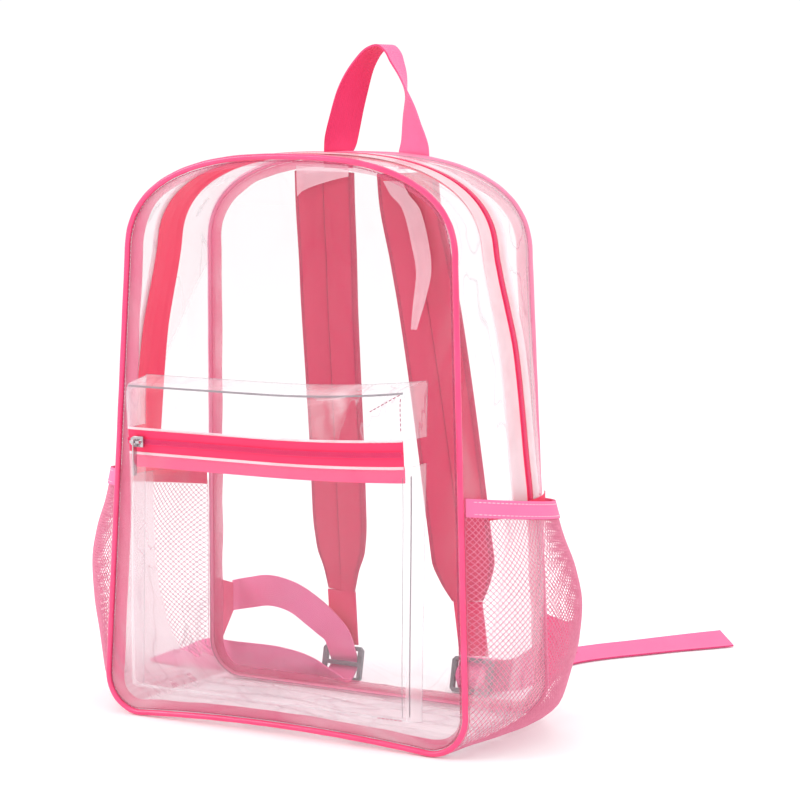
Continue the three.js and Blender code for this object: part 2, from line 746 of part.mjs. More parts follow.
const tailRoutes = {
  left: [
    [-0.318, 0.162, 0.072, 1, 0, 0],
    [-0.331, 0.122, 0.18, 0.93, -0.2, 0.25],
    [-0.361, 0.086, 0.31, 0.75, -0.38, 0.55],
    [-0.407, 0.065, 0.43, 0.45, -0.35, 0.82],
    [-0.466, 0.061, 0.48, 0.15, -0.2, 0.97],
    [-0.538, 0.076, 0.5, 0, -0.1, 1],
    [-0.656, 0.104, 0.5, 0, 0, 1],
    [-0.787, 0.104, 0.5, 0, 0, 1],
    [-0.918, 0.097, 0.5, 0, 0, 1],
    [-1.05, 0.112, 0.48, 0, 0.3, 1],
    [-1.18, 0.133, 0.38, 0, 0.7, 0.7],
    [-1.31, 0.162, 0.2, 0, 0.95, 0.35],
    [-1.44, 0.19, 0.07, 0, 1, 0.08],
  ],
  right: [
    [0.418, 0.385, 0.94, 1, 0, 0],
    [0.422, 0.45, 0.93, 1, 0, 0],
    [0.433, 0.522, 0.72, 1, 0, 0],
    [0.44, 0.594, 0.34, 1, 0, 0],
    [0.453, 0.68, 0.06, 1, 0, 0],
    [0.462, 0.8, 0.01, 1, 0, 0],
    [0.479, 1.08, 0.05, 1, -0.1, -0.08],
    [0.538, 1.335, 0.12, 0.92, -0.35, -0.22],
    [0.636, 1.53, 0.13, 0.83, -0.53, -0.25],
    [0.767, 1.723, 0.14, 0.8, -0.58, -0.26],
    [0.898, 1.917, 0.15, 0.8, -0.58, -0.29],
    [1.016, 2.068, 0.17, 0.8, -0.6, -0.33],
    [1.118, 2.205, 0.18, 0.8, -0.6, -0.35],
  ],
};

function routeStations(table) {
  const floorClear = webbingWall / 2 + pieceGap;
  return table.map(([across, behind, up, hx, hy, hz]) => ({
    at: V(
      across * baseWidth / 2,
      backY(0) + behind * baseDepth,
      up * webbingWidth + floorClear,
    ),
    hint: V(hx, hy, hz).normalize(),
    width: webbingWidth,
    wall: webbingWall,
  }));
}

// The webbing goes in at one slot, round the middle bar and out at the other; side 1 keeps both ends in
// front of the lock, -1 behind it, and from 1 starts at the upper slot
function threadStations(lockAt, side, from) {
  const slotHalf = (buckleHeight - 3 * buckleBar) / 4;
  const slotMiddle = slotHalf + buckleBar / 2;
  const slotEnd = 2 * slotHalf + buckleBar / 2;
  const reach = buckleWall / 2 + webbingWall / 2 + 2 * pieceGap;
  const ease = pieceGap * 2 / 3;
  const steps = [
    [slotEnd - ease, reach],
    [slotMiddle, 0],
    [buckleBar / 2 + ease, -reach],
    [-buckleBar / 2 - ease, -reach],
    [-slotMiddle, 0],
    [-slotEnd + ease, reach],
  ];
  return steps.map(([up, out]) => ({
    at: lockAt.clone().addScaledVector(lockUp, from * up).addScaledVector(lockFront, side * out),
    hint: V(1, 0, 0),
    width: webbingWidth,
    wall: webbingWall,
  }));
}

// Wing tab sewn in the back seam low down, which carries the webbing: heights of its ends on the seam as
// shares of the webbing's width, and its outer edge in the same columns as the routes
const tabSeam = [0.8, 3.2];
const tabEdges = {
  left: [[-0.977, 0.2065, 1.89], [-0.977, 0.2065, 2.83]],
  right: [[1.03, 0.2015, 1.76], [1.03, 0.2015, 2.72]],
};

function wingTab(name, side) {
  const seam = tabSeam.map((up) => {
    const z = up * webbingWidth;
    const x = outlineX(z, backBaseWidth, backTopWidth);
    return V(side * x, backY(z) + pipingRadius + 2 * pieceGap, z);
  });
  const edge = tabEdges[name].map(([across, behind, up]) => V(
    across * baseWidth / 2,
    backY(0) + behind * baseDepth,
    up * webbingWidth,
  ));
  return sheet([[seam[0], edge[0]], [seam[1], edge[1]]], webbingWall);
}

for (const [name, side] of [['left', -1], ['right', 1]]) {
  const stations = strapStations(name, side);
  addPiece(`strap_${name}`, ribbon(stations, true), 'padding');
  const end = stations[stations.length - 1].at;
  const lockAt = V(end.x + lockShift[name][0], end.y + lockShift[name][1], lockHalfRise + pieceGap);
  const lock = addPiece(`ladder_lock_${name}`, ladderLock(), 'buckle');
  lock.position.copy(lockAt);
  lock.rotation.x = radians(90 - lockTilt);

  const barTop = lockAt.clone().addScaledVector(lockUp, buckleHeight / 2 + webbingWall);
  const strapEnd = end.clone().add(V(0, 0, -2 * pieceGap));
  const strip = [strapEnd, ...lockStripSteps.map((part) => strapEnd.clone().lerp(barTop, part)), barTop];
  addPiece(`lock_strip_${name}`, ribbon(strip.map((at) => ({
    at, hint: V(1, 0, 0), width: webbingWidth, wall: webbingWall,
  }))), 'webbing');

  addPiece(`adjuster_${name}`, ribbon([
    ...routeStations(anchorRoutes[name]),
    ...threadStations(lockAt, -side, -side),
    ...routeStations(tailRoutes[name]),
  ]), 'webbing');

  addPiece(`wing_tab_${name}`, wingTab(name, side), 'webbing');
}

// Zip slider: a chamfered body with a bridge over it, lying along x with its bridge up
function sliderBody() {
  const [l, w] = [sliderLength / 2, sliderWidth / 2];
  const plate = new THREE.Shape([
    [-l, -w * sliderNose], [-l / 2, -w], [l, -w], [l, w], [-l / 2, w], [-l, w * sliderNose],
  ].map(([x, y]) => new THREE.Vector2(x, y)));
  const body = new THREE.ExtrudeGeometry(plate, { depth: sliderWall, bevelEnabled: false });
  const bar = sliderBridge - sliderWindow;
  const reach = l * bridgeShare;
  const arch = new THREE.Shape([
    [-reach, -sliderWall / 2], [reach, -sliderWall / 2], [reach, sliderBridge], [-reach, sliderBridge],
  ].map(([x, y]) => new THREE.Vector2(x, y)));
  arch.holes.push(new THREE.Path([
    [-reach + bar, 0], [reach - bar, 0], [reach - bar, sliderWindow], [-reach + bar, sliderWindow],
  ].map(([x, y]) => new THREE.Vector2(x, y))));
  const bridge = new THREE.ExtrudeGeometry(arch, { depth: sliderBarWidth, bevelEnabled: false });
  bridge.rotateX(radians(90));
  bridge.translate(0, sliderBarWidth / 2, sliderWall);
  return asGeometry(asSolid(body).add(asSolid(bridge)));
}

// Pull tab in the plane of x and y, its eye round the origin, hanging towards -y
function pullTab(eyeLength, eyeWidth) {
  const rim = pullRim;
  const half = eyeWidth / 2 + rim;
  const end = half * pullTaper;
  const top = eyeLength / 2 + rim;
  const foot = top - pullLength;
  const plate = new THREE.Shape([
    [-end, top], [-half, top - rim], [-half, foot + rim], [-end, foot],
    [end, foot], [half, foot + rim], [half, top - rim], [end, top],
  ].map(([x, y]) => new THREE.Vector2(x, y)));
  const [w, l] = [eyeWidth / 2, eyeLength / 2];
  plate.holes.push(new THREE.Path([[-w, -l], [w, -l], [w, l], [-w, l]].map(([x, y]) => (
    new THREE.Vector2(x, y)))));
  const geometry = new THREE.ExtrudeGeometry(plate, { depth: pullWall, bevelEnabled: false });
  geometry.translate(0, 0, -pullWall / 2);
  return geometry;
}

function placeBy(piece, along, across, out, at) {
  piece.applyMatrix4(new THREE.Matrix4().makeBasis(along, across, out).setPosition(at));
}

// Front pocket's slider at the closed left end of its zip; its pull hangs edge on from the bridge
const pocketFace = pocketPoint(pocketSliderPlace, pocketZipShare);
const pocketRest = sheetWall / 2 + pocketZipTooth + 2 * pieceGap;
const pocketSliderAt = V(pocketFace.x, pocketFace.y - pocketRest, pocketFace.z);
const pocketSlider = addPiece('pocket_slider', sliderBody(), 'metal');
placeBy(pocketSlider, V(1, 0, 0), V(0, 0, 1), V(0, -1, 0), pocketSliderAt);

const barMiddle = sliderWall + (sliderWindow + sliderBridge) / 2;
const barWall = sliderBridge - sliderWindow;
const eyeAcross = barWall + 2 * pullEase;
const eyeAlong = sliderBarWidth + 2 * pieceGap + pullEase;
const pocketPull = addPiece('pocket_pull', pullTab(eyeAlong, eyeAcross), 'metal');
const pullDrop = (eyeAlong - sliderBarWidth) / 2 - pieceGap;
placeBy(
  pocketPull, V(0, -1, 0), V(0, 0, 1), V(-1, 0, 0),
  V(pocketSliderAt.x, pocketSliderAt.y - barMiddle, pocketSliderAt.z - pullDrop),
);

// Main zip's slider on the left side; its pull hangs flat, round the lower leg of the bridge
const mainSliderIndex = loopCount - 1 - (zipEndIndex + 1);
const mainFace = skinPoint(mainSliderIndex, zipPlace);
const mainAbove = skinPoint(mainSliderIndex - 1, zipPlace);
const mainBelow = skinPoint(mainSliderIndex + 1, zipPlace);
const mainAlong = mainAbove.clone().sub(mainBelow).normalize();
const mainAcross = V(0, 1, 0).addScaledVector(mainAlong, -mainAlong.y).normalize();
const mainOut = mainAlong.clone().cross(mainAcross).normalize();
const mainRest = sheetWall / 2 + zipToothHeight + 2 * pieceGap;
const mainSliderAt = mainFace.clone().addScaledVector(mainOut, mainRest);
const mainSlider = addPiece('main_slider', sliderBody(), 'metal');
placeBy(mainSlider, mainAlong, mainAcross, mainOut, mainSliderAt);

const legMiddle = sliderLength / 2 * bridgeShare - barWall / 2;
const legAlong = barWall + 2 * pieceGap + pullEase;
const legAcross = sliderBarWidth + 2 * pullEase;
const mainPull = addPiece('main_pull', pullTab(legAlong, legAcross), 'metal');
const mainPullAt = mainSliderAt.clone()
  .addScaledVector(mainAlong, -legMiddle - (legAlong - barWall) / 2 + pieceGap)
  .addScaledVector(mainOut, sliderWall + sliderWindow / 2);
placeBy(mainPull, mainAcross.clone().negate(), mainAlong, mainOut, mainPullAt);

export default bag;
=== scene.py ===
# %% [markdown]
# # A clear backpack, dressed in Blender
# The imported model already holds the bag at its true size: panels, piping, zips, straps and webbing as plain
# solids. This lesson gives each of them the shape and finish of the real thing. Everything is measured in
# millimetres, as a bag maker would, and turned to metres when a mesh is made.

# %% Load the frame
import math
from functools import partial

import bpy
import numpy as np
from mathutils import Matrix, Vector


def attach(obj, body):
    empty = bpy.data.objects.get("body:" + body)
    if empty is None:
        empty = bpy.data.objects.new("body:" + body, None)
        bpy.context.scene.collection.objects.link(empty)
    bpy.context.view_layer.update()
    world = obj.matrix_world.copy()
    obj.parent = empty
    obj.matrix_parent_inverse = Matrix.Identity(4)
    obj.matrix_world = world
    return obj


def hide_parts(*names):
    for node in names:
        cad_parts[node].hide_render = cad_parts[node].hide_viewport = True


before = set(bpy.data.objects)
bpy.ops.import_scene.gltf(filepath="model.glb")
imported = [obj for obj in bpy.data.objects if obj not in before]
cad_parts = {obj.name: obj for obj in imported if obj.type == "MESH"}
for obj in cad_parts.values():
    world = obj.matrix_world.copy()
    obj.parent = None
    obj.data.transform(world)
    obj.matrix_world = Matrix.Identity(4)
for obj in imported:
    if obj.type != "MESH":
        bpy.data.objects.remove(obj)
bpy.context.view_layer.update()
MM = 0.001

# %% [markdown]
# ## The camera
# The photograph was taken a little to the right of the bag and slightly from above. The place of the camera
# comes from points of the bag that were matched to the photograph. A camera looks along its own -Z, so it is
# turned by tracking that axis to the point that it looks at.

# %% Camera
eye = Vector((943.9, -1580.1, 458.6)) * MM
looked_at = Vector((47.2, 26.35, 239.03)) * MM
bpy.ops.object.camera_add(location=eye)
camera = bpy.context.object
camera.name = "camera"
camera.rotation_euler = (looked_at - eye).to_track_quat("-Z", "Y").to_euler()
camera.data.sensor_width = 36
camera.data.lens = 112.3
camera.data.clip_start = 0.05
camera.data.clip_end = 60
bpy.context.scene.camera = camera
print("camera distance:", round((looked_at - eye).length, 3), "m")

# %% [markdown]
# ## The studio
# Clear vinyl only shows by what it reflects, so the light matters as much as the material. A white world
# stands for the walls of a light tent. Large soft lamps from both sides and from above give the long pale
# streaks. The floor is a plain white sheet that lies under the bag and isn't part of it.

# %% Colours and nodes
def linear(code):
    """Turns an sRGB hex colour to the linear one that shaders use."""
    parts = [int(code[i : i + 2], 16) / 255 for i in (1, 3, 5)]
    return (*[p / 12.92 if p <= 0.04045 else ((p + 0.055) / 1.055) ** 2.4 for p in parts], 1.0)


def feed(node, values=None, links=None):
    """Sets some sockets of a node and links others. A value may be a hex colour, and a link may be a node,
    whose first output is then used."""
    for key, value in (values or {}).items():
        node.inputs[key].default_value = linear(value) if isinstance(value, str) else value
    for key, source in (links or {}).items():
        socket = source.outputs[0] if hasattr(source, "outputs") else source
        node.id_data.links.new(socket, node.inputs[key])


def add_node(tree, kind, values=None, links=None, **settings):
    """Adds one node: its own settings, the values of its sockets and the sockets that feed it."""
    made = tree.nodes.new("ShaderNode" + kind)
    for key, value in settings.items():
        setattr(made, key, value)
    feed(made, values, links)
    return made


def new_finish(name):
    """An empty material, the call that adds a node to it, its main shader and its output."""
    finish = bpy.data.materials.new(name)
    finish.use_nodes = True
    nodes = finish.node_tree.nodes
    return finish, partial(add_node, finish.node_tree), nodes["Principled BSDF"], nodes["Material Output"]


print("pure red, linear:", linear("#FF0000"))

# %% Studio
scene = bpy.context.scene
scene.view_settings.view_transform = "Standard"
scene.cycles.transparent_max_bounces = 48
world = bpy.data.worlds.new("light_tent")
scene.world = world
world.use_nodes = True
feed(world.node_tree.nodes["Background"], {"Color": "#FFFFFF", "Strength": 1.04})


def soft_lamp(name, place, size, power):
    """A square lamp that looks at the middle of the bag."""
    at = Vector(place)
    bpy.ops.object.light_add(type="AREA", location=at)
    lamp = bpy.context.object
    lamp.name = name
    lamp.rotation_euler = (looked_at - at).to_track_quat("-Z", "Y").to_euler()
    lamp.data.size = size
    lamp.data.energy = power


soft_lamp("lamp_left", place=(-1.6, -1.5, 1.5), size=1.1, power=19)
soft_lamp("lamp_right", place=(2.1, -0.6, 1.3), size=0.9, power=6)
soft_lamp("lamp_above", place=(0.2, 0.5, 2.4), size=1.4, power=9)

floor_size, floor_drop = 16, 0.0002
bpy.ops.mesh.primitive_plane_add(size=floor_size)
floor = bpy.context.object
floor.name = "floor"
paper, _, board, _ = new_finish("studio_paper")
feed(board, {"Base Color": "#FFFFFF", "Roughness": 0.95, "Specular IOR Level": 0.0})
floor.data.materials.append(paper)
floor.location.z = -floor_drop
print("lamps and floor are up")

# %% [markdown]
# ## The numbers of the bag
# These are the sizes that the solids were built from. The panels lean back a little, so the depth of the
# front and the back plane depends on the height. Tables hold shares of a named size, and are read with a
# smooth curve that never swings past its points, because cloth and vinyl have no sudden corners.

# %% Numbers
body_height, arch_height, arch_power = 420, 74, 2.47
base_width, top_width, back_base_width, back_top_width = 305, 276, 298, 279
base_depth, top_depth, front_lean, front_rise = 139, 108, 14, 5
corner_radius, piping_radius, gap, vinyl_wall = 28, 2.2, 0.3, 1.0
side_swell, base_sag, swell_power = 23, 12, 0.8
zip_end, zip_width, webbing_width, webbing_wall = 172, 26, 25, 1.6
corner_top = piping_radius + corner_radius
arch_foot = body_height - arch_height
seam_reach = piping_radius + gap


def between(low, high, share):
    return low + (high - low) * share


def unit(rows):
    return rows / np.linalg.norm(rows, axis=-1, keepdims=True)


def front_y(z):
    return -base_depth / 2 + front_lean * z / body_height


def back_y(z):
    return front_y(z) + between(base_depth, top_depth, z / body_height)


def read_table(rows, share, swinging=False):
    """Values of a table at each share. Row: share, values. Swinging lets the curve bend as a thrown rope."""
    rows = np.asarray(rows, float)
    places, values = rows[:, 0], rows[:, 1:]
    share = np.clip(np.asarray(share, float), places[0], places[-1])
    i = np.clip(np.searchsorted(places, share, side="right") - 1, 0, len(places) - 2)
    steps = np.diff(places)[:, None]
    rise = np.diff(values, axis=0) / steps
    slopes = np.vstack([rise[:1], (rise[:-1] + rise[1:]) / 2, rise[-1:]])
    if not swinging:
        product = rise[:-1] * rise[1:]
        total = np.where(product > 0, rise[:-1] + rise[1:], 1)
        slopes[1:-1] = np.where(product > 0, 2 * product / total, 0)
    width = (places[i + 1] - places[i])[..., None]
    p = (share - places[i])[..., None] / width
    start = (2 * p**3 - 3 * p**2 + 1) * values[i] + (p**3 - 2 * p**2 + p) * width * slopes[i]
    return start + (3 * p**2 - 2 * p**3) * values[i + 1] + (p**3 - p**2) * width * slopes[i + 1]


print("front leans", front_lean, "mm over", body_height, "mm")

# %% [markdown]
# ## The outline of a panel
# Both panels are cut to a tombstone: a straight foot, round corners, almost straight sides and an arched
# top. It could be drawn as a curve, but a list of points serves every seam that follows it. Half of it is
# worked out and then mirrored, with its outward direction at every point.

# %% Outline
foot_steps, corner_steps, side_steps, arch_steps = 25, 13, 25, 45


def panel_outline(low, high, rise):
    """Rows of x, z and the outward direction, counterclockwise from the middle of the foot."""
    flat = low / 2 - corner_radius
    share = np.linspace(0, 1, foot_steps)
    foot = np.stack([share * flat, piping_radius + rise * (1 - share**2)], axis=1)
    turn = np.radians(np.linspace(0, 90, corner_steps)[1:])
    corner = np.c_[flat + corner_radius * np.sin(turn), corner_top - corner_radius * np.cos(turn)]
    stops = (corner_top, zip_end), (zip_end, arch_foot)
    z = np.concatenate([np.linspace(*ends, side_steps)[1:] for ends in stops])
    side = np.c_[between(low / 2, high / 2, (z - corner_top) / (arch_foot - corner_top)), z]
    turn = np.radians(np.linspace(0, 90, arch_steps)[1:])
    across = np.clip(np.cos(turn), 0, 1) ** (2 / arch_power)
    across[-1] = 0
    arch = np.c_[high / 2 * across, arch_foot + arch_height * np.sin(turn) ** (2 / arch_power)]
    half = np.vstack([foot, corner, side, arch])
    loop = np.vstack([half, half[-2:0:-1] * [-1, 1]])
    ahead = unit(np.roll(loop, -1, axis=0) - np.roll(loop, 1, axis=0))
    return np.c_[loop, ahead[:, 1], -ahead[:, 0]]


front_loop = panel_outline(base_width, top_width, front_rise)
back_loop = panel_outline(back_base_width, back_top_width, 0)
loop_count = len(front_loop)
whole_loop = np.r_[np.arange(loop_count), 0]
zip_start = foot_steps + corner_steps + side_steps - 3
zip_stop = loop_count - zip_start
print("outline points:", loop_count, "zip ends at z", front_loop[zip_start, 1], front_loop[zip_stop, 1])

# %% [markdown]
# ## The side skin
# The sides of the empty bag swell out and its base sags to the floor. Each point of the skin has a place
# round the outline and a share of the way from the front seam to the back seam. The swell grows from both
# seams like half a wave.

# %% Skin
swell_table = [
    [0, 0.02], [0.025, 0.09], [0.07, 0.38], [0.15, 0.65], [0.27, 0.9], [0.41, 0.98], [0.5, 0.87],
    [0.6, 0.75], [0.68, 0.61], [0.74, 0.4], [0.8, 0.17], [0.85, 0.04], [1, 0.04],
]


def swell_across(v):
    return np.sin(np.pi * np.clip(v, 0, 1)) ** swell_power


def skin(stations, shares, stand=0.0):
    """Grid of skin points: rows round the bag, columns from the front seam to the back seam."""
    i = np.asarray(stations)[:, None] % loop_count
    v = np.asarray(shares, float)[None, :]
    front, back = front_loop[i], back_loop[i]
    x = between(front[..., 0], back[..., 0], v)
    z = between(front[..., 1], back[..., 1], v)
    y = between(front_y(z) + seam_reach, back_y(z) - seam_reach, v)
    foot = np.maximum(-front[..., 3], 0) * (front[..., 1] < corner_top)
    swell = side_swell * read_table(swell_table, z / body_height)[..., 0]
    swell = between(swell, base_sag, foot**12)
    out = unit(between(front[..., 2:4], back[..., 2:4], v[..., None]))
    reach = stand + swell * swell_across(v)
    x = x + out[..., 0] * reach
    z = np.maximum(z + out[..., 1] * reach, vinyl_wall / 2)
    return np.stack([x, y, z], axis=-1)


half_zip = zip_width / 2 / ((base_depth + top_depth) / 2)
zip_front, zip_back = 0.5 - half_zip, 0.5 + half_zip
print("widest point of the skin:", round(float(skin(range(40, 90), [0.5])[..., 0].max()), 1), "mm")

# %% [markdown]
# ## Cutting cloth
# Cloth and vinyl start as a flat grid, one primitive with as many squares as the piece needs. Its corners
# are then laid on the bag, and its UV map keeps the real distance over the cloth in metres, so that a weave
# stays at its true scale. A small wall is added afterwards by Solidify.

# %% Grid pieces
def select_only(piece):
    bpy.ops.object.select_all(action="DESELECT")
    piece.select_set(True)
    bpy.context.view_layer.objects.active = piece


def shape_with(piece, kind, **settings):
    """Adds a modifier to the piece and applies it."""
    select_only(piece)
    bpy.ops.object.modifier_add(type=kind)
    made = piece.modifiers[-1]
    for key, value in settings.items():
        setattr(made, key, value)
    bpy.ops.object.modifier_apply(modifier=made.name)


print("grid helpers are ready")

# %% Laying and dressing cloth
def lay_grid(name, points, shares=None, mark="crease_and_painted_light"):
    """Grid primitive laid over rows and columns of points. Shares are kept as the attribute that mark
    names, which the finish reads: crease_and_painted_light for folds in vinyl and painted light on woven
    cloth, cover for thin cloth."""
    rows, columns = points.shape[:2]
    bpy.ops.object.select_all(action="DESELECT")
    bpy.ops.mesh.primitive_grid_add(x_subdivisions=columns - 1, y_subdivisions=rows - 1, size=1)
    piece = bpy.context.object
    piece.name = piece.data.name = name
    piece.data.vertices.foreach_set("co", (points * MM).ravel())
    across, along = np.zeros((rows, columns)), np.zeros((rows, columns))
    across[:, 1:] = np.cumsum(np.linalg.norm(np.diff(points, axis=1), axis=-1), axis=1)
    along[1:] = np.cumsum(np.linalg.norm(np.diff(points, axis=0), axis=-1), axis=0)
    across -= across[:, -1:] / 2
    uv = np.stack([across, np.repeat(along.mean(axis=1)[:, None], columns, axis=1)], axis=-1) * MM
    corner = np.zeros(len(piece.data.loops), int)
    piece.data.loops.foreach_get("vertex_index", corner)
    piece.data.uv_layers.active.data.foreach_set("uv", uv.reshape(-1, 2)[corner].ravel())
    if shares is not None:
        made = piece.data.attributes.new(mark, "FLOAT", "POINT")
        made.data.foreach_set("value", np.broadcast_to(shares, (rows, columns)).astype(float).ravel())
    return piece


def edit(piece, *steps):
    """Runs edit mode operators on all of a piece."""
    select_only(piece)
    bpy.ops.object.mode_set(mode="EDIT")
    bpy.ops.mesh.select_all(action="SELECT")
    for step in steps:
        step()
    bpy.ops.object.mode_set(mode="OBJECT")


def close_seams():
    bpy.ops.mesh.remove_doubles(threshold=0.00001)


def face_out():
    bpy.ops.mesh.normals_make_consistent(inside=False)


def close_ends():
    bpy.ops.mesh.select_all(action="DESELECT")
    bpy.ops.mesh.select_non_manifold()
    bpy.ops.mesh.fill_holes(sides=0)
    bpy.ops.mesh.select_all(action="SELECT")
    face_out()


def dress(piece, finishes, node=None):
    """Gives the piece its finish, ties it to the frame and says which node it replaces."""
    for finish in finishes:
        piece.data.materials.append(finish)
    select_only(piece)
    bpy.ops.object.shade_smooth_by_angle(angle=math.radians(50))
    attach(piece, "root")
    if node:
        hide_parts(node)
    size = [round(v / MM, 1) for v in piece.dimensions]
    print(piece.name, "faces", len(piece.data.polygons), "size", size, "mm")


def cloth(name, points, wall, finishes, node=None, shares=None, mark="crease_and_painted_light", closed=False):
    """A piece of cloth or vinyl: laid grid, wall, finish. With two finishes, the second goes on the cut
    edge. With three, the second goes on the other face and the third on the cut edge."""
    piece = lay_grid(name, points, shares, mark)
    if closed:
        edit(piece, close_seams)
    for finish in finishes:
        piece.data.materials.append(finish)
    shape_with(
        piece, "SOLIDIFY", thickness=wall * MM, offset=0.0, use_even_offset=not closed,
        material_offset=1 if len(finishes) == 3 else 0, material_offset_rim=len(finishes) - 1,
    )
    dress(piece, (), node)


sheet_wall, tape_wall, fold_wall = 0.6, 0.7, 0.3


def sheet(name, points, finish, node, crease_and_painted_light, closed=False):
    """A clear sheet with its grey cut edge."""
    cloth(name, points, sheet_wall, (finish, cut_edge), node, crease_and_painted_light, closed=closed)


print("sheet of", sheet_wall, "mm, tape of", tape_wall, "mm")

# %% [markdown]
# ## Clear PVC
# The panels are calendered clear PVC, about half a millimetre thick. It lets nearly all light through, shows
# white streaks where it reflects a lamp, and turns grey where it is seen edge on. Glass with true refraction
# is slow and noisy through eight layers, so the sheet is a glossy plastic mixed with plain transparency: the
# mix grows towards grazing angles and along the creases that the piece's attribute marks.

# %% Clear PVC
def let_light_through(add, body, output, cover, colour="#FFFFFF"):
    """Mixes the shader with plain transparency. Cover is the share that the shader keeps."""
    clear = add("BsdfTransparent", {"Color": colour})
    feed(output, {}, {"Surface": add("MixShader", {}, {0: cover, 1: clear, 2: body})})


def clear_pvc(name, haze, glaze, fold_size, tint):
    """Haze shows from everywhere, glaze is what a grazing look adds, and fold_size is in mm."""
    finish, add, plastic, output = new_finish(name)
    cloth_map = add("UVMap", uv_map="UVMap")
    stretch = add("Mapping", {"Scale": (1.0, 0.35, 1.0)}, {"Vector": cloth_map})
    folds = add(
        "TexNoise", {"Scale": 1000 / fold_size, "Detail": 2.0, "Roughness": 0.4, "Distortion": 0.5},
        {"Vector": stretch},
    )
    soft = add("MapRange", {"From Min": 0.5, "From Max": 0.7, "To Max": 0.5}, {"Value": folds})
    middle = add("Math", {1: 0.5}, {0: folds}, operation="SUBTRACT")
    away = add("Math", {}, {0: middle}, operation="ABSOLUTE")
    line = add("MapRange", {"From Max": 0.014, "To Min": 1.0, "To Max": 0.0}, {"Value": away})
    both = add("Math", {1: 0.3}, {0: line, 2: soft}, operation="MULTIPLY_ADD")
    crease_and_painted_light = add("Attribute", attribute_name="crease_and_painted_light")
    folded = add("Math", {}, {0: both, 1: crease_and_painted_light.outputs["Fac"]}, operation="MULTIPLY")
    grazing = add("LayerWeight", {"Blend": 0.28})
    edge = add("Math", {1: glaze, 2: haze}, {0: grazing}, operation="MULTIPLY_ADD")
    amount = add("Math", {}, {0: edge, 1: folded}, operation="ADD", use_clamp=True)
    shade = add("Mix", {6: tint, 7: "#D9C3CD"}, {0: line}, data_type="RGBA")
    bump = add("Bump", {"Strength": 0.5, "Distance": 0.004}, {"Height": folds})
    feed(plastic, {"Roughness": 0.12, "IOR": 1.53}, {"Base Color": shade.outputs[2], "Normal": bump})
    let_light_through(add, plastic, output, amount, (0.99, 0.985, 0.988, 1))
    return finish


# Folds are 60 mm apart on a flat panel, and 26 mm where the sheet is crumpled
panel_pvc = clear_pvc("calendered_clear_pvc", 0.01, 0.26, 60, "#FFFCFD")
crumpled_pvc = clear_pvc("crumpled_clear_pvc", 0.012, 0.3, 26, "#FEF6F9")
print("clear finishes:", panel_pvc.name, crumpled_pvc.name)

# %% [markdown]
# A cut or folded edge of clear PVC gathers light inside the sheet and looks like a fine grey line. It gets a
# finish of its own, half see-through, which goes on the rim of every clear piece. The same kind of finish
# gives the folded hems, a painted glare over the straps and the grey line of a fold. Its clouds are 25 mm
# across.

# %% Cut edge
def half_clear(name, colour, cover, roughness):
    finish, add, plastic, output = new_finish(name)
    place = add("TexCoord")
    cloud = add("TexNoise", {"Scale": 1000 / 25, "Detail": 2.0}, {"Vector": place.outputs["Object"]})
    worn = add(
        "MapRange",
        {"From Min": 0.35, "From Max": 0.65, "To Min": cover * 0.9, "To Max": min(cover * 1.08, 1.0)},
        {"Value": cloud},
    )
    feed(plastic, {"Base Color": colour, "Roughness": roughness, "IOR": 1.53})
    let_light_through(add, plastic, output, worn)
    return finish


cut_edge = half_clear("cut_pvc_edge", "#B3A9AF", 0.5, 0.2)
fold_edge = half_clear("folded_pvc_edge", "#FDE9EF", 0.52, 0.25)
# Painted glare: a pale half-clear finish that stands in for a lamp's reflection on the vinyl over the straps
soft_glare = half_clear("soft_glare_on_pvc", "#FBD9E2", 0.5, 0.3)
grey_fold = half_clear("grey_fold_line_in_pvc", "#9C9198", 0.8, 0.25)
print("edge finishes:", cut_edge.name, fold_edge.name, soft_glare.name, grey_fold.name)

# %% [markdown]
# ## Pink finishes
# The piping is extruded PVC, smooth and glossy, with a faint unevenness from the extruder. The netting is
# knitted polyester, the locks are moulded acetal, the sliders and pulls are nickel plated, the zip coils are
# nylon and the stitches are polyester thread. Each is plain enough for one small tree: a cloudy colour, a
# roughness that suits how it was made and a little bump.

# %% Smooth finishes
def cloudy(name, low, high, grain, bump, surface):
    """A colour that wanders from low to high over grain mm, with a bump of a strength and a height in mm.
    Surface holds the main shader's own values."""
    finish, add, body, _ = new_finish(name)
    place = add("TexCoord")
    cloud = add("TexNoise", {"Scale": 1000 / grain, "Detail": 3.0}, {"Vector": place.outputs["Object"]})
    shade = add("Mix", {6: low, 7: high}, {0: cloud}, data_type="RGBA")
    uneven = add("Bump", {"Strength": bump[0], "Distance": bump[1] * MM}, {"Height": cloud})
    feed(body, surface, {"Base Color": shade.outputs[2], "Normal": uneven})
    return finish


extruded = {"Roughness": 0.28, "IOR": 1.53, "Coat Weight": 0.3}
extruded_grain, faint, slight = 1000 / 45, (0.15, 1), (0.1, 0.5)
front_piping_pvc = cloudy("extruded_pink_pvc", "#FA4C86", "#EC2F6B", extruded_grain, faint, extruded)
back_piping_pvc = cloudy("extruded_pale_pvc", "#F08FB0", "#E67399", extruded_grain, faint, extruded)
knitted = {"Roughness": 0.7, "Sheen Weight": 0.05}
net_yarn = cloudy("knitted_polyester_net", "#D97394", "#EC9DB6", 3, slight, knitted)
acetal = cloudy("moulded_grey_acetal", "#6A6A6E", "#828285", 4, slight, {"Roughness": 0.38})
plated = {"Roughness": 0.25, "Metallic": 1.0}
nickel = cloudy("nickel_plated_zinc", "#B0A7AB", "#CFC6CA", 6, (0.03, 0.5), plated)
coil_nylon = cloudy("nylon_zip_coil", "#DB2F68", "#F4447C", 2, slight, {"Roughness": 0.35})
pale_thread = cloudy("pale_polyester_thread", "#F4B4CB", "#FBD7E3", 1.5, slight, {"Roughness": 0.6})
dark_thread = cloudy("rose_polyester_thread", "#93294E", "#B23A63", 1.5, slight, {"Roughness": 0.6})
print("smooth finishes made")
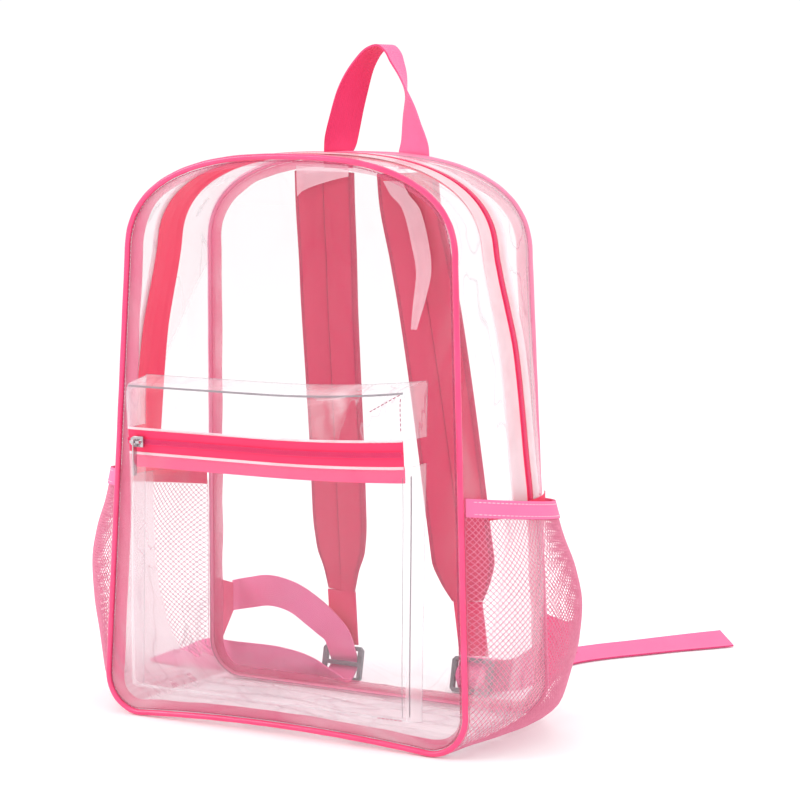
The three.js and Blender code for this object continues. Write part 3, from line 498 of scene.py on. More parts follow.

# %% [markdown]
# The zip tape, webbing and strap cloth are woven polyester or polypropylene: the eye reads them by their
# fine ribs. Each weave is drawn as two crossing waves over the cloth's own UV map, at the spacing of real
# yarn, or as coarse as it must be to show. Where the photograph shows a lighter stretch of webbing that the
# lamps alone don't give, painted light is added: the attribute crease_and_painted_light lightens the colour
# to pale pink.

# %% Woven cloth
def woven(name, light, dark, yarn, depth, roughness, sheen, thin_cloth=False):
    """Yarn holds its spacing in mm along and across the piece; depth is the bump in mm. Thin cloth covers
    as much as the attribute cover says."""
    finish, add, fibre, output = new_finish(name)
    cloth_map = add("UVMap", uv_map="UVMap")
    parts = add("SeparateXYZ", {}, {0: cloth_map})
    waves = []
    for axis, pitch in enumerate(yarn):
        turn = add("Math", {1: 2000 * math.pi / pitch}, {0: parts.outputs[axis]}, operation="MULTIPLY")
        waves.append(add("Math", {}, {0: turn}, operation="SINE"))
    crossed = add("Math", {}, {0: waves[0], 1: waves[1]}, operation="MULTIPLY")
    ribs = add("Math", {1: 0.6}, {0: waves[0], 2: crossed}, operation="MULTIPLY_ADD")
    raised = add("MapRange", {"From Min": -1.6, "From Max": 1.6}, {"Value": ribs})
    cloud = add("TexNoise", {"Scale": 38.0, "Detail": 4.0, "Roughness": 0.6}, {"Vector": cloth_map})
    tone = add("Mix", {0: 0.5}, {2: raised, 3: cloud})
    shade = add("Mix", {6: dark, 7: light}, {0: tone}, data_type="RGBA")
    # Painted light: the attribute lightens the colour towards pale pink where a stretch of cloth is painted
    # as lit
    painted_light = add("Attribute", attribute_name="crease_and_painted_light")
    with_painted_light = add(
        "Mix", {7: "#FA86B6"}, {0: painted_light.outputs["Fac"], 6: shade.outputs[2]}, data_type="RGBA"
    )
    bump = add("Bump", {"Strength": 0.6, "Distance": depth * MM}, {"Height": raised})
    surface = {"Roughness": roughness, "Sheen Weight": sheen, "Sheen Roughness": 0.4}
    feed(fibre, surface, {"Base Color": with_painted_light.outputs[2], "Normal": bump})
    if thin_cloth:
        cover = add("Attribute", attribute_name="cover")
        let_light_through(add, fibre, output, cover.outputs["Fac"])
    return finish


# Yarn of 0.8 to 1.6 mm; real tape yarn is about 0.35 mm, drawn coarser so that it shows
fine, coarse = (0.8, 0.8), (1.6, 1.0)
zip_cloth = woven("woven_polyester_zip_tape", "#FF3A6C", "#F52458", (0.9, 0.9), 0.15, 0.7, 0.03)
webbing_back = woven("ribbed_webbing_inner_face", "#F2386F", "#DF2A60", coarse, 0.25, 0.75, 0.03)
webbing_face = woven("ribbed_webbing_outer_face", "#F57FAE", "#E9659A", coarse, 0.25, 0.7, 0.05)
webbing_edge = woven("webbing_selvedge", "#E84C82", "#CF376B", fine, 0.2, 0.8, 0.03)
strap_cloth = woven("polyester_600d_strap_cloth", "#E8446F", "#D02A58", (1.1, 1.1), 0.2, 0.8, 0.04)
strap_trim = woven("folded_strap_binding", "#D94A6E", "#B93157", fine, 0.2, 0.8, 0.04)
seam_rose = woven("seam_binding_rose", "#F07FA4", "#E2557F", fine, 0.12, 0.65, 0.04, True)
print("woven finishes made")

# %% [markdown]
# ## Front and back panel
# Each panel is one flat sheet held inside its piping, with the slack waves of vinyl that was folded in a
# parcel. A grid laid in rings round the middle follows the tombstone outline better than straight rows
# would. Its first and last column meet, and all of its first row is the middle point, so both are merged.

# %% Panels
def ripple(u, v, seed, longest=90.0):
    """Seven slack waves that add up to height 1 at most over places in mm, the same on every run."""
    count = 7
    wave = np.random.default_rng(seed)
    total = np.zeros(np.broadcast(u, v).shape)
    for _ in range(count):
        length = longest * wave.uniform(0.35, 1.0)
        turn, shift = wave.uniform(0, math.pi), wave.uniform(0, 2 * math.pi)
        total = total + np.sin((u * math.cos(turn) + v * math.sin(turn)) * 2 * math.pi / length + shift)
    return total / count


rings = np.array([0, 0.12, 0.25, 0.38, 0.5, 0.61, 0.71, 0.8, 0.87, 0.92, 0.96, 1.0])
panel_slack, crumpled_height, crumpled_half = 1.4, 90, 150


def panel(name, loop, depth_at, seed, node, corner_crease):
    edge = (loop[:, :2] - loop[:, 2:4] * seam_reach)[whole_loop]
    middle = np.array([0.0, body_height / 2])
    flat = middle + rings[:, None, None] * (edge - middle)[None]
    x, z = flat[..., 0], flat[..., 1]
    slack = panel_slack * ripple(x, z, seed) * (1 - rings[:, None] ** 6)
    low = np.clip(1 - z / crumpled_height, 0, 1) * np.clip(np.abs(x) / crumpled_half, 0, 1)
    crease_and_painted_light = np.maximum(low * corner_crease, rings[:, None] ** 10 * 0.1)
    points = np.stack([x, depth_at(z) + slack, z], axis=-1)
    sheet(name, points[:, ::-1], panel_pvc, node, crease_and_painted_light[:, ::-1], closed=True)


panel("vinyl_front", front_loop, front_y, 3, "front_panel", 0.5)
panel("vinyl_back", back_loop, back_y, 8, "back_panel", 0.3)

# %% [markdown]
# ## Piping and seam binding
# The seam round each panel is finished with a round piping cord on the outside and a folded binding on the
# inside, which shows through the clear panel as a band. The cord is a grid rolled into a tube, so that it
# follows the outline exactly. It swells slightly between its stitches.

# %% Piping
stitch_count, pucker_share = 48, 0.03
turns = np.radians(np.linspace(0, 360, 17))


def piping(name, loop, depth_at, node, finish):
    rows = loop[whole_loop]
    pucker = 1 + pucker_share * np.sin(np.arange(len(rows)) * 2 * math.pi * stitch_count / loop_count)
    reach = piping_radius * pucker[:, None]
    x = rows[:, :1] + rows[:, 2:3] * reach * np.cos(turns)
    z = rows[:, 1:2] + rows[:, 3:4] * reach * np.cos(turns)
    y = depth_at(rows[:, 1:2]) + reach * np.sin(turns)
    piece = lay_grid(name, np.stack([x, y, z], axis=-1))
    edit(piece, close_seams, face_out)
    dress(piece, (finish,), node)


piping("piping_cord_front", front_loop, front_y, "piping_front", front_piping_pvc)
piping("piping_cord_back", back_loop, back_y, "piping_back", back_piping_pvc)

# %% Seam binding
band_gap, band_stand, band_bulge = 0.1, 1.2, 0.3


def seam_band(side, loop, depth_at, inward, widths, covers, seed):
    """Widths and covers are for the right, left, top and foot of the panel."""
    rows = loop[whole_loop]
    ways = np.stack([rows[:, 2], -rows[:, 2], rows[:, 3], -rows[:, 3]], axis=1)
    ways = np.maximum(ways, 0) ** 2
    share = np.linspace(0, 1, 7)
    wander = 0.12 * ripple(rows[:, 0], rows[:, 1], seed, 60)[:, None]
    reach = seam_reach + band_gap + (ways @ widths)[:, None] * (1 + wander) * share
    x = rows[:, :1] - rows[:, 2:3] * reach
    z = rows[:, 1:2] - rows[:, 3:4] * reach
    y = depth_at(z) + inward * (band_stand + 0.5 * share + band_bulge * np.sin(share * math.pi))
    cloudy_cover = 1 + 0.35 * ripple(rows[:, 0], rows[:, 1], seed + 20, 110)[:, None]
    cover = np.clip((ways @ covers)[:, None] * cloudy_cover * (1 - 0.25 * share), 0, 1)
    points = np.stack([x, y, z], axis=-1)
    cloth(
        f"seam_band_{side}", points, tape_wall, (seam_rose,), f"seam_tape_{side}", cover,
        "cover", closed=True,
    )


seam_band("front", front_loop, front_y, 1, (2.5, 10, 4, 7), (0.3, 0.8, 0.3, 0.75), 5)
seam_band("back", back_loop, back_y, -1, (7, 9, 6, 6), (0.6, 0.75, 0.55, 0.5), 6)

# %% [markdown]
# ## The zipped side
# Two clear strips run over the sides and the top, with the main zip between them. The vinyl is folded over
# the zip tape on the outside, so from outside only the coil is bright and the tape shows pale beside it, and
# from inside the whole tape is bright. The lower side and the base are one more strip, which lies on the
# floor in loose folds.

# %% Strips
upper = np.arange(zip_start, zip_stop + 1)
gap_share = gap / top_depth
station_step, skin_depth, strip_slack, crease_from, crease_over = 4.5, 130, 1.0, 330, 80


def strip(name, shares, node, crease_and_painted_light, seed):
    points = skin(upper, shares)
    places = np.arange(len(upper))[:, None] * station_step
    hold = np.minimum(shares - shares[0], shares[-1] - shares) / (shares[-1] - shares[0]) * 2
    bump = strip_slack * ripple(places, shares[None, :] * skin_depth, seed, 60) * hold
    out = points - np.array([0, 0, 200.0])
    out[..., 1] = 0
    points = points + unit(out) * bump[..., None]
    sheet(name, points, crumpled_pvc, node, crease_and_painted_light)


high = skin(upper, [0.3])[..., 2]
top_crease = between(0.14, 0.4, np.clip((high - crease_from) / crease_over, 0, 1))
front_shares = np.linspace(0, zip_front - gap_share, 13)
back_shares = np.linspace(zip_back + gap_share, 1, 13)
strip("vinyl_strip_front", front_shares, "top_strip_front", top_crease, 11)
strip("vinyl_strip_back", back_shares, "top_strip_back", top_crease * 0.6, 12)

# %% Base
under = np.arange(zip_stop, loop_count + zip_start + 1)
base_shares = np.linspace(0, 1, 41)
floor_folds, fold_lift, fold_height, flat_height, base_clear = 24, 2.2, 2.0, 26, 0.4
base_points = skin(under, base_shares)
x, y, z = np.moveaxis(base_points, -1, 0)
flat = np.clip(1 - z / flat_height, 0, 1)
inner = np.clip(swell_across(base_shares) * 1.3, 0, 1)[None, :]
fold = np.sin((y + 7 * np.sin(x / 46.0) + 4 * np.sin(x / 19.0 + 1)) * 2 * math.pi / floor_folds)
base_points[..., 2] = np.maximum(z + flat * inner * (fold_lift + fold_height * fold), base_clear)
side_crease = np.clip(1 - z / 120, 0.08, 1) * 0.8
sheet("vinyl_base", base_points, crumpled_pvc, "base_strip", side_crease)

# %% [markdown]
# ## Zips
# A coil zip is two tapes with a nylon spiral sewn along each. From a step away the spiral reads as a row of
# small cross bars, so one bar is modelled, bevelled and copied along the chain, leaning one way on one tape
# and the other way on the other.

# %% Copies along a line
def sample_line(points, outs, pitch):
    """Places at an even pitch along a line: a matrix with X along, Z out of the cloth."""
    steps = np.linalg.norm(np.diff(points, axis=0), axis=1)
    run = np.r_[0, np.cumsum(steps)]
    look = 0.8
    found = []
    for s in np.arange(pitch / 2, run[-1], pitch):
        here, ahead, behind = [
            np.array([np.interp(t, run, points[:, k]) for k in range(3)])
            for t in (s, min(s + look, run[-1]), max(s - look, 0))
        ]
        out = np.array([np.interp(s, run, outs[:, k]) for k in range(3)])
        along = unit(ahead - behind)
        out = unit(out - along * out.dot(along))
        turned = np.c_[along, np.cross(out, along), out]
        found.append(Matrix([[*row, p] for row, p in zip(turned, here * MM)] + [[0, 0, 0, 1]]))
    return found


def bar(length, width, height, bevel):
    """Small rounded bar that lies along X."""
    bpy.ops.object.select_all(action="DESELECT")
    bpy.ops.mesh.primitive_cube_add(size=1)
    piece = bpy.context.object
    bpy.ops.transform.resize(value=(length * MM, width * MM, height * MM))
    bpy.ops.object.transform_apply(location=False, rotation=False, scale=True)
    shape_with(piece, "BEVEL", width=bevel * MM, segments=1, limit_method="NONE")
    return piece


def repeat(name, part, places, finish):
    """Copies the part to every place, each with its own mesh, and joins them to one piece."""
    bpy.ops.object.select_all(action="DESELECT")
    for place in places:
        twin = part.copy()
        twin.data = part.data.copy()
        twin.data.transform(place)
        bpy.context.scene.collection.objects.link(twin)
        twin.select_set(True)
        if place is places[0]:
            bpy.context.view_layer.objects.active = twin
    bpy.data.objects.remove(part)
    bpy.ops.object.join()
    piece = bpy.context.object
    piece.name = piece.data.name = name
    dress(piece, (finish,))


thread_width, thread_height, thread_bevel, thread_lift = 0.6, 0.5, 0.18, 0.2


def stitches(name, line, outs, finish, pitch=3.4, length=2.3):
    """A row of stitches that lies on the cloth along a line."""
    places = sample_line(line + outs * thread_lift, outs, pitch)
    repeat(name, bar(length, thread_width, thread_height, thread_bevel), places, finish)


def grid_outs(points):
    """Outward directions of a grid of points."""
    return unit(np.cross(np.gradient(points, axis=1), np.gradient(points, axis=0)))


print("thread is", thread_width, "mm wide")

# %% Main zip
tape_spare, tape_columns, chain_height, chain_spread = 0.045, 21, 0.7, 0.16
tape_sink, sink_over = 1.1, 0.006
coil_pitch, coil_lean, coil_height, coil_bevel = 1.7, 14, 1.3, 0.28
facing_stand, facing_wall = 1.1, 0.5
zip_shares = np.linspace(zip_front - tape_spare, zip_back + tape_spare, tape_columns)
tape_points = skin(upper, zip_shares)
tape_outs = grid_outs(tape_points)
chain_lift = chain_height * np.exp(-((np.linspace(-1, 1, tape_columns) / chain_spread) ** 2))
behind = -tape_sink * np.clip((np.abs(zip_shares - 0.5) - half_zip) / sink_over + 1, 0, 1)
tape = tape_points + tape_outs * (chain_lift + behind)[None, :, None]
cloth("main_zip_tape", tape, tape_wall, (zip_cloth,), "main_zip")


def coil(name, middle, outs, across, length, lift):
    """Two leaning rows of coil bars on both sides of a line."""
    places = []
    for side in (-1, 1):
        line = middle + across * side * length * 0.42 + outs * lift
        lean = Matrix.Rotation(math.radians(90 + side * coil_lean), 4, "Z")
        shift = Matrix.Translation((coil_pitch / 2 * MM if side > 0 else 0, 0, 0))
        places += [place @ shift @ lean for place in sample_line(line, outs, coil_pitch)]
    repeat(name, bar(length, coil_pitch * 0.62, coil_height, coil_bevel), places, coil_nylon)


zip_across = unit(np.gradient(tape_points, axis=1)[:, tape_columns // 2])
zip_middle, zip_outs = [rows[:, tape_columns // 2] for rows in (tape_points, tape_outs)]
coil("main_zip_coil", zip_middle, zip_outs, zip_across, 2.6, 1.1)
facing_spans = {"front": (zip_front - 0.08, 0.458), "back": (0.542, zip_back + 0.048)}
for side, span in facing_spans.items():
    facing = skin(upper, np.linspace(*span, 5), facing_stand)
    cloth(f"zip_facing_{side}", facing, facing_wall, (fold_edge,))

# %% Joint tapes
joint_half, joint_stand, joint_wall = 4.5, 2.6, 0.8
for side, station in (("right", zip_start), ("left", zip_stop)):
    rows = skin([station], np.linspace(0.12, 0.88, 25), joint_stand)
    height = np.linspace(-joint_half, joint_half, 5)
    points = np.concatenate([rows + np.array([0, 0, h]) for h in height], axis=0)
    if side == "left":
        points = points[::-1]
    cloth(f"joint_binding_{side}", points, joint_wall, (zip_cloth,), f"joint_tape_{side}")

# %% [markdown]
# ## Net pockets
# The side pockets are knitted netting with diamond openings of about 4 mm. A texture with holes would go
# flat near the edges, so the yarn is real: a grid is poked, its first edges are dissolved so that diamonds
# are left, and Wireframe turns every edge to a thread. A webbing binding holds the mouth.

# %% Shape of the net
net_table = [
    [0, 0.07], [0.034, 0.3], [0.08, 0.48], [0.135, 0.62], [0.26, 0.78], [0.42, 0.94], [0.58, 1],
    [0.72, 0.92], [0.86, 0.74], [1, 0.6],
]
net_front_top, net_back_top, net_foot, net_swell, binding_height = 185, 169, 6, 56, 13
net_stand = vinyl_wall / 2 + gap + 1.2


def outline_x(z, low, high):
    straight = between(low / 2, high / 2, (z - corner_top) / (arch_foot - corner_top))
    drop = np.clip((corner_top - z) / corner_radius, 0, 1)
    bent = low / 2 - corner_radius + corner_radius * np.sqrt(1 - drop**2)
    return np.where(z >= corner_top, straight, bent)


def net_points(shares, columns, side, stand):
    share, v = np.meshgrid(shares, columns, indexing="ij")
    z = between(net_foot, between(net_front_top, net_back_top, v), share)
    seam = between(
        outline_x(z, base_width, top_width), outline_x(z, back_base_width, back_top_width), v
    )
    drop = np.clip((corner_top - z) / corner_radius, 0, 1)
    swell = net_swell * read_table(net_table, share)[..., 0] * swell_across(v)
    x = side * (seam + stand * np.sqrt(1 - drop**2) + swell)
    y = between(front_y(z) + seam_reach, back_y(z) - seam_reach, v)
    points = np.stack([x, y, z - stand * drop], axis=-1)
    return points if side > 0 else points[::-1]


print("net stands", round(net_stand, 2), "mm off the skin")

# %% Netting
def diamonds():
    """Pokes every square and dissolves the edges that it had, which leaves diamonds."""
    bpy.ops.mesh.select_mode(type="EDGE")
    bpy.ops.object.mode_set(mode="OBJECT")
    mesh = bpy.context.object.data
    mesh.attributes.new("first_edge", "BOOLEAN", "EDGE").data.foreach_set("value", [True] * len(mesh.edges))
    bpy.ops.object.mode_set(mode="EDIT")
    bpy.ops.mesh.select_all(action="SELECT")
    bpy.ops.mesh.poke()
    bpy.ops.object.mode_set(mode="OBJECT")
    first = [item.value for item in mesh.attributes["first_edge"].data]
    count = {}
    for face in mesh.polygons:
        for key in face.edge_keys:
            count[key] = count.get(key, 0) + 1
    for edge, is_first in zip(mesh.edges, first):
        edge.select = bool(is_first) and count.get(tuple(sorted(edge.vertices)), 0) == 2
    for item in (*mesh.vertices, *mesh.polygons):
        item.select = False
    for edge in mesh.edges:
        if edge.select:
            for corner in edge.vertices:
                mesh.vertices[corner].select = True
    mesh.attributes.remove(mesh.attributes["first_edge"])
    bpy.ops.object.mode_set(mode="EDIT")
    bpy.ops.mesh.dissolve_edges(use_verts=False)


net_rows, net_columns, yarn_width, mouth_wall, mouth_stand = 39, 50, 0.7, 2.0, 0.5
mouth_share = binding_height / (net_front_top - net_foot)
net_shares = np.linspace(0, 1 - mouth_share * 0.8, net_rows), np.linspace(0, 1, net_columns)
mouth_shares = np.linspace(1 - mouth_share, 1, 7), np.linspace(0, 1, 33)
for side_name, side in (("right", 1), ("left", -1)):
    net = lay_grid(f"netting_{side_name}", net_points(*net_shares, side, net_stand))
    edit(net, diamonds)
    shape_with(net, "WIREFRAME", thickness=yarn_width * MM, use_even_offset=False, use_boundary=True)
    dress(net, (net_yarn,), f"net_pocket_{side_name}")
    mouth = net_points(*mouth_shares, side, net_stand + mouth_stand)
    cloth(
        f"net_binding_{side_name}_cloth", mouth, mouth_wall,
        (webbing_face, webbing_back, webbing_edge), f"net_binding_{side_name}",
    )

# %% [markdown]
# ## The front pocket
# A flat clear pocket with a zip across it. Its sides fold back to the panel like the side of a shallow box,
# and its flap above the zip bulges and creases. The zip tape is wider than the gap between the two vinyl
# parts, so it also shows behind them, painted paler for the reflecting veil of the vinyl in front of it.

# %% Pocket
pocket_half, pocket_foot, pocket_height, pocket_depth, pocket_skew = 119, 24, 234, 25, 8
pocket_zip, pocket_zip_share = 17, 0.805
pocket_table = [
    [0, 0.06], [0.008, 0.55], [0.025, 0.82], [0.2, 0.9], [0.55, 0.96], [0.72, 1.02], [0.86, 1.18],
    [0.95, 1.26], [0.982, 1.12], [1, 0.06],
]
pocket_sides = [[0, 1], [0.55, 1], [0.93, 1], [0.975, 0.96], [1, 0.03]]


def pocket_points(shares, columns, stand=0.0):
    """Rows run up the pocket's front, columns from right to left; stand is towards the front."""
    share, u = np.meshgrid(shares, columns, indexing="ij")
    lift = pocket_skew * np.clip(u, 0, 1) ** 2 * share**2
    z = pocket_foot + pocket_height * share + lift
    depth = read_table(pocket_table, share)[..., 0] * read_table(pocket_sides, np.abs(u))[..., 0]
    y = front_y(z) - vinyl_wall - gap - pocket_depth * depth - stand
    return np.stack([pocket_half * u, y, z], axis=-1)[::-1]


edge_steps = [0.93, 0.95, 0.965, 0.975, 0.98, 0.987, 0.994, 1.0]
pocket_columns = np.r_[np.linspace(0, 0.9, 25), edge_steps]
pocket_columns = np.r_[-pocket_columns[:0:-1], pocket_columns][::-1]
half_band = pocket_zip / 2 / pocket_height
zip_low, zip_high = pocket_zip_share - half_band, pocket_zip_share + half_band
hem_spare = 0.0013
low_rows = np.r_[0, 0.004, 0.008, 0.014, 0.02, 0.025, np.linspace(0.04, zip_low - hem_spare, 26)]
body = pocket_points(low_rows, pocket_columns)
spread_u, spread_s = np.meshgrid(pocket_columns, low_rows[::-1])
slack = ripple(spread_u * pocket_half, spread_s * pocket_height, 21)
body[..., 1] -= 1.2 * slack * np.clip(1 - np.abs(spread_u) ** 8, 0, 1)
left_haze = np.clip(-spread_u - 0.45, 0, 1) * 0.15
body_crease = np.maximum(left_haze, np.clip(np.abs(spread_u) - 0.93, 0, 1) * 2)
sheet("pocket_body", body, panel_pvc, "pocket_front", body_crease)
flap_top = [0.95, 0.96, 0.97, 0.982, 0.988, 0.994, 1.0]
flap_rows = np.r_[np.linspace(zip_high + hem_spare, 0.94, 14), flap_top]
flap = pocket_points(flap_rows, pocket_columns)
spread_u, spread_s = np.meshgrid(pocket_columns, flap_rows[::-1])
from_right = (1 - spread_u) * pocket_half
fan = np.arctan2(from_right, (1.02 - spread_s) * pocket_height)
flap[..., 1] -= 1.1 * np.sin(fan * 34) * np.clip(1 - np.abs(spread_u) ** 6, 0, 1)
fan_crease = np.clip(1 - from_right / 110, 0, 1) * 0.9 * (spread_u < 0.965)
flap_crease = np.clip(np.maximum(fan_crease, 0.06 + np.clip(-spread_u - 0.8, 0, 1) * 4), 0, 1)
sheet("pocket_flap_vinyl", flap, crumpled_pvc, "pocket_flap", flap_crease)
fold_spans = {
    "top": (0.974, 0.979, 0.965, -0.965), "corner": (0.03, zip_low - 0.03, 0.962, 0.959),
    "gusset": (0.03, zip_low - 0.03, 0.9855, 0.9845),
}
for name, span in fold_spans.items():
    edge = pocket_points(np.linspace(*span[:2], 9), np.linspace(*span[2:], 33), stand=0.45)
    cloth(f"pocket_{name}_fold", edge, fold_wall, (grey_fold,))

# %% Pocket zip
zip_reach, tape_below = 0.968, 11
zip_columns = np.linspace(1, -1, 61) * zip_reach
tape_rows = np.linspace(zip_low - tape_below / pocket_height, zip_high + 0.002, 17)
pocket_tape = pocket_points(tape_rows, zip_columns, stand=-0.2)
under_vinyl = np.clip((zip_low - tape_rows[::-1]) * pocket_height, 0, 1)[:, None]
pocket_tape[..., 1] += 0.9 * under_vinyl
# Painted reflection: the tape under the vinyl is painted 0.4 of the way to pale pink, for the veil that the
# vinyl in front reflects
tape_painted_veil = under_vinyl * 0.4
cloth("pocket_zip_tape", pocket_tape, 0.6, (zip_cloth,), "pocket_zip", tape_painted_veil)
chain = pocket_points(pocket_zip_share + np.array([-0.01, 0, 0.01]), zip_columns)
chain_across = np.repeat([[0, 0, 1.0]], len(zip_columns), axis=0)
coil("pocket_zip_coil", chain[1], grid_outs(chain)[1], chain_across, 2.4, 1.0)
for name, at, wide in (("upper", zip_high + 0.003, 1.8), ("lower", zip_low - 0.003, 2)):
    half = wide / 2 / pocket_height
    hem = pocket_points(np.linspace(at - half, at + half, 4), zip_columns, stand=0.55)
    cloth(f"pocket_hem_{name}", hem, 0.4, (fold_edge,))

# %% [markdown]
# ## Seam stitches
# Lockstitch is a row of short bars of thread with a gap of about 1 mm between them. A dark row runs
# beside each piping cord, three short rows hold the corners of the front pocket, and two pale rows hold
# each net binding.

# %% Stitches
stitch_inset, thread_stand = 0.7, 1.5
for name, loop, depth_at, way in (("front", front_loop, front_y, -1), ("back", back_loop, back_y, 1)):
    rows = loop[whole_loop]
    across, up = (rows[:, :2] - rows[:, 2:4] * (seam_reach + stitch_inset)).T
    line = np.stack([across, depth_at(up) + way * 0.5, up], axis=1)
    outs = np.repeat([[0, way, 0.0]], len(line), axis=0)
    stitches(f"piping_stitches_{name}", line, outs, dark_thread, pitch=3.2, length=2.6)
row_spans = {
    "fan": ((0.76, 0.96), (0.93, 0.975)), "edge": ((0.963, 0.963), (0.965, 0.87)),
    "foot": ((0.79, 0.96), (0.022, 0.022)),
}
for name, (across, up) in row_spans.items():
    ends = zip(np.linspace(*across, 12), np.linspace(*up, 12))
    line = np.stack([pocket_points([s], [u])[0, 0] for u, s in ends])
    line[:, 1] -= 0.9
    outs = np.repeat([[0, -1.0, 0]], len(line), axis=0)
    stitches(f"pocket_stitches_{name}", line, outs, dark_thread)
for side_name, side in (("right", 1), ("left", -1)):
    for row, share in (("upper", 0.988), ("lower", 0.94)):
        shares, columns = [share - 0.01, share, share + 0.01], np.linspace(0.02, 0.98, 41)
        rows = net_points(shares, columns, side, net_stand + thread_stand)
        name = f"net_stitches_{side_name}_{row}"
        stitches(name, rows[1], grid_outs(rows)[1], pale_thread)

# %% [markdown]
# ## Webbing
# The handle, the adjusters and the strips that hold the locks are 25 mm polypropylene webbing. A ribbon is
# laid along stations: each gives a point of its middle line and a hint of which way its width lies. The
# handle is twisted by half a turn, so it shows a deep pink face on one leg and a pale one on the other,
# and the pale leg also gets painted light that lightens it further.

# %% Ribbons
def webbing(name, stations, count, node, faces, painted_light=None):
    """Ribbon along stations of x, y, z and the width's direction, in rows spaced evenly over its length."""
    stations = np.asarray(stations, float)
    steps = np.linalg.norm(np.diff(stations[:, :3], axis=0), axis=1)
    run = np.r_[0, np.cumsum(steps)] / steps.sum()
    smooth = read_table(np.c_[run, stations], np.linspace(0, 1, count), swinging=True)
    at, hint = smooth[:, :3], smooth[:, 3:6]
    along = unit(np.gradient(at, axis=0))
    across = unit(hint - along * np.sum(hint * along, axis=1)[:, None])
    reach = np.linspace(-1, 1, 9) * webbing_width / 2
    points = at[:, None, :] + across[:, None, :] * reach[None, :, None]
    cloth(name, points, webbing_wall - 0.2, (*faces, webbing_edge), node, painted_light)
    print(name, "webbing length", round(np.linalg.norm(np.diff(at, axis=0), axis=1).sum()), "mm")


handle_table = [
    [-1, 0, 0], [-0.954, 0.107, 24], [-0.908, 0.222, 40], [-0.735, 0.566, 57], [-0.468, 0.834, 78],
    [-0.215, 0.962, 85], [0.031, 1, 90], [0.246, 0.936, 93], [0.385, 0.834, 97], [0.538, 0.707, 107],
    [0.658, 0.566, 119], [0.8, 0.362, 140], [0.908, 0.184, 155], [0.963, 0.094, 166], [1, 0, 180],
]
handle_middle, handle_half, handle_rise, handle_lean, handle_clear = 10, 32.6, 78.4, 12, 2.6
handle_tail, handle_rows, painted_light_from, painted_light_over, painted_light_share = 11, 110, 0.62, 0.12, 0.6
handle_stand = back_y(body_height) + piping_radius + gap + webbing_wall / 2
handle = [[handle_middle - handle_half, handle_stand, body_height - handle_tail, 1, 0, 0]]
for across, rise, degrees in handle_table:
    turn = math.radians(degrees)
    handle.append([
        handle_middle + handle_half * across, handle_stand + handle_lean * rise,
        body_height + handle_clear + handle_rise * rise, math.cos(turn), math.sin(turn), 0,
    ])
handle.append([handle_middle + handle_half, handle_stand, body_height - handle_tail, -1, 0, 0])
# Painted light: past 62 % of its length the handle's right leg is painted up to 0.6 of the way to pale pink,
# as if lit
leg_painted_light = np.clip((np.linspace(0, 1, handle_rows)[:, None] - painted_light_from) / painted_light_over, 0, 1) * painted_light_share
webbing("handle_webbing", handle, handle_rows, "handle", (webbing_back, webbing_face), leg_painted_light)

# %% [markdown]
# ## Shoulder straps
# Each strap is foam between two layers of cloth, sewn down the middle and bound at the edges. It hangs from
# the back seam and narrows to the width of its webbing. The pad is modelled directly as a closed tube of
# rings: a cloth simulation would swallow the narrow sewn channel and the bound edges.

# %% Shape of the straps
strap_width, strap_padding, strap_splay, strap_stand, strap_foot = 52, 7, 9.5, 42, 74
strap_top = body_height - 14
strap_tables = {
    "left": [
        [0, -0.237, 0, 1, 1], [0.06, -0.24, 0.02, 1, 1], [0.2, -0.262, 0.2, 1, 1],
        [0.32, -0.28, 0.33, 1, 1], [0.5, -0.295, 0.5, 1, 1], [0.68, -0.303, 0.62, 1, 1],
        [0.82, -0.308, 0.68, 1, 0.95], [0.9, -0.308, 0.7, 0.9, 0.8], [0.95, -0.308, 0.7, 0.66, 0.6],
        [1, -0.31, 0.71, 0.5, 0.4],
    ],
    "right": [
        [0, 0.237, 0, 1, 1], [0.06, 0.243, 0.02, 1, 1], [0.2, 0.275, 0.2, 1, 1],
        [0.32, 0.3, 0.34, 1, 1], [0.5, 0.328, 0.53, 1, 1], [0.68, 0.352, 0.7, 1, 1],
        [0.82, 0.37, 0.82, 1, 0.95], [0.9, 0.382, 0.88, 1, 0.8], [0.95, 0.39, 0.91, 0.82, 0.6],
        [1, 0.398, 0.94, 0.5, 0.4],
    ],
}
strap_clear = vinyl_wall / 2 + gap + strap_padding / 2
ring_places = [
    (-1, 0), (-0.985, -0.42), (-0.92, -0.5), (-0.88, -0.52), (-0.82, -0.86), (-0.55, -1), (-0.25, -0.98),
    (-0.06, -0.86), (0, -0.6), (0.06, -0.86), (0.25, -0.98), (0.55, -1), (0.82, -0.86), (0.88, -0.52),
    (0.92, -0.5), (0.985, -0.42),
]
ring = np.array(ring_places + [(-u, -w) for u, w in ring_places] + ring_places[:1])


def strap_frames(name, side, shares):
    place, stand, width, padding = read_table(strap_tables[name], shares).T
    z = between(strap_top, strap_foot, shares)
    at = np.stack([place * base_width / 2, back_y(z) + strap_clear + strap_stand * stand, z], axis=1)
    splay = np.radians(strap_splay) * stand
    across = np.stack([np.cos(splay), side * np.sin(splay), 0 * splay], axis=1)
    along = unit(np.gradient(at, axis=0))
    across = unit(across - along * np.sum(across * along, axis=1)[:, None])
    return at, across, np.cross(along, across), width * strap_width / 2, padding * strap_padding / 2


print("straps are", strap_width, "mm wide")

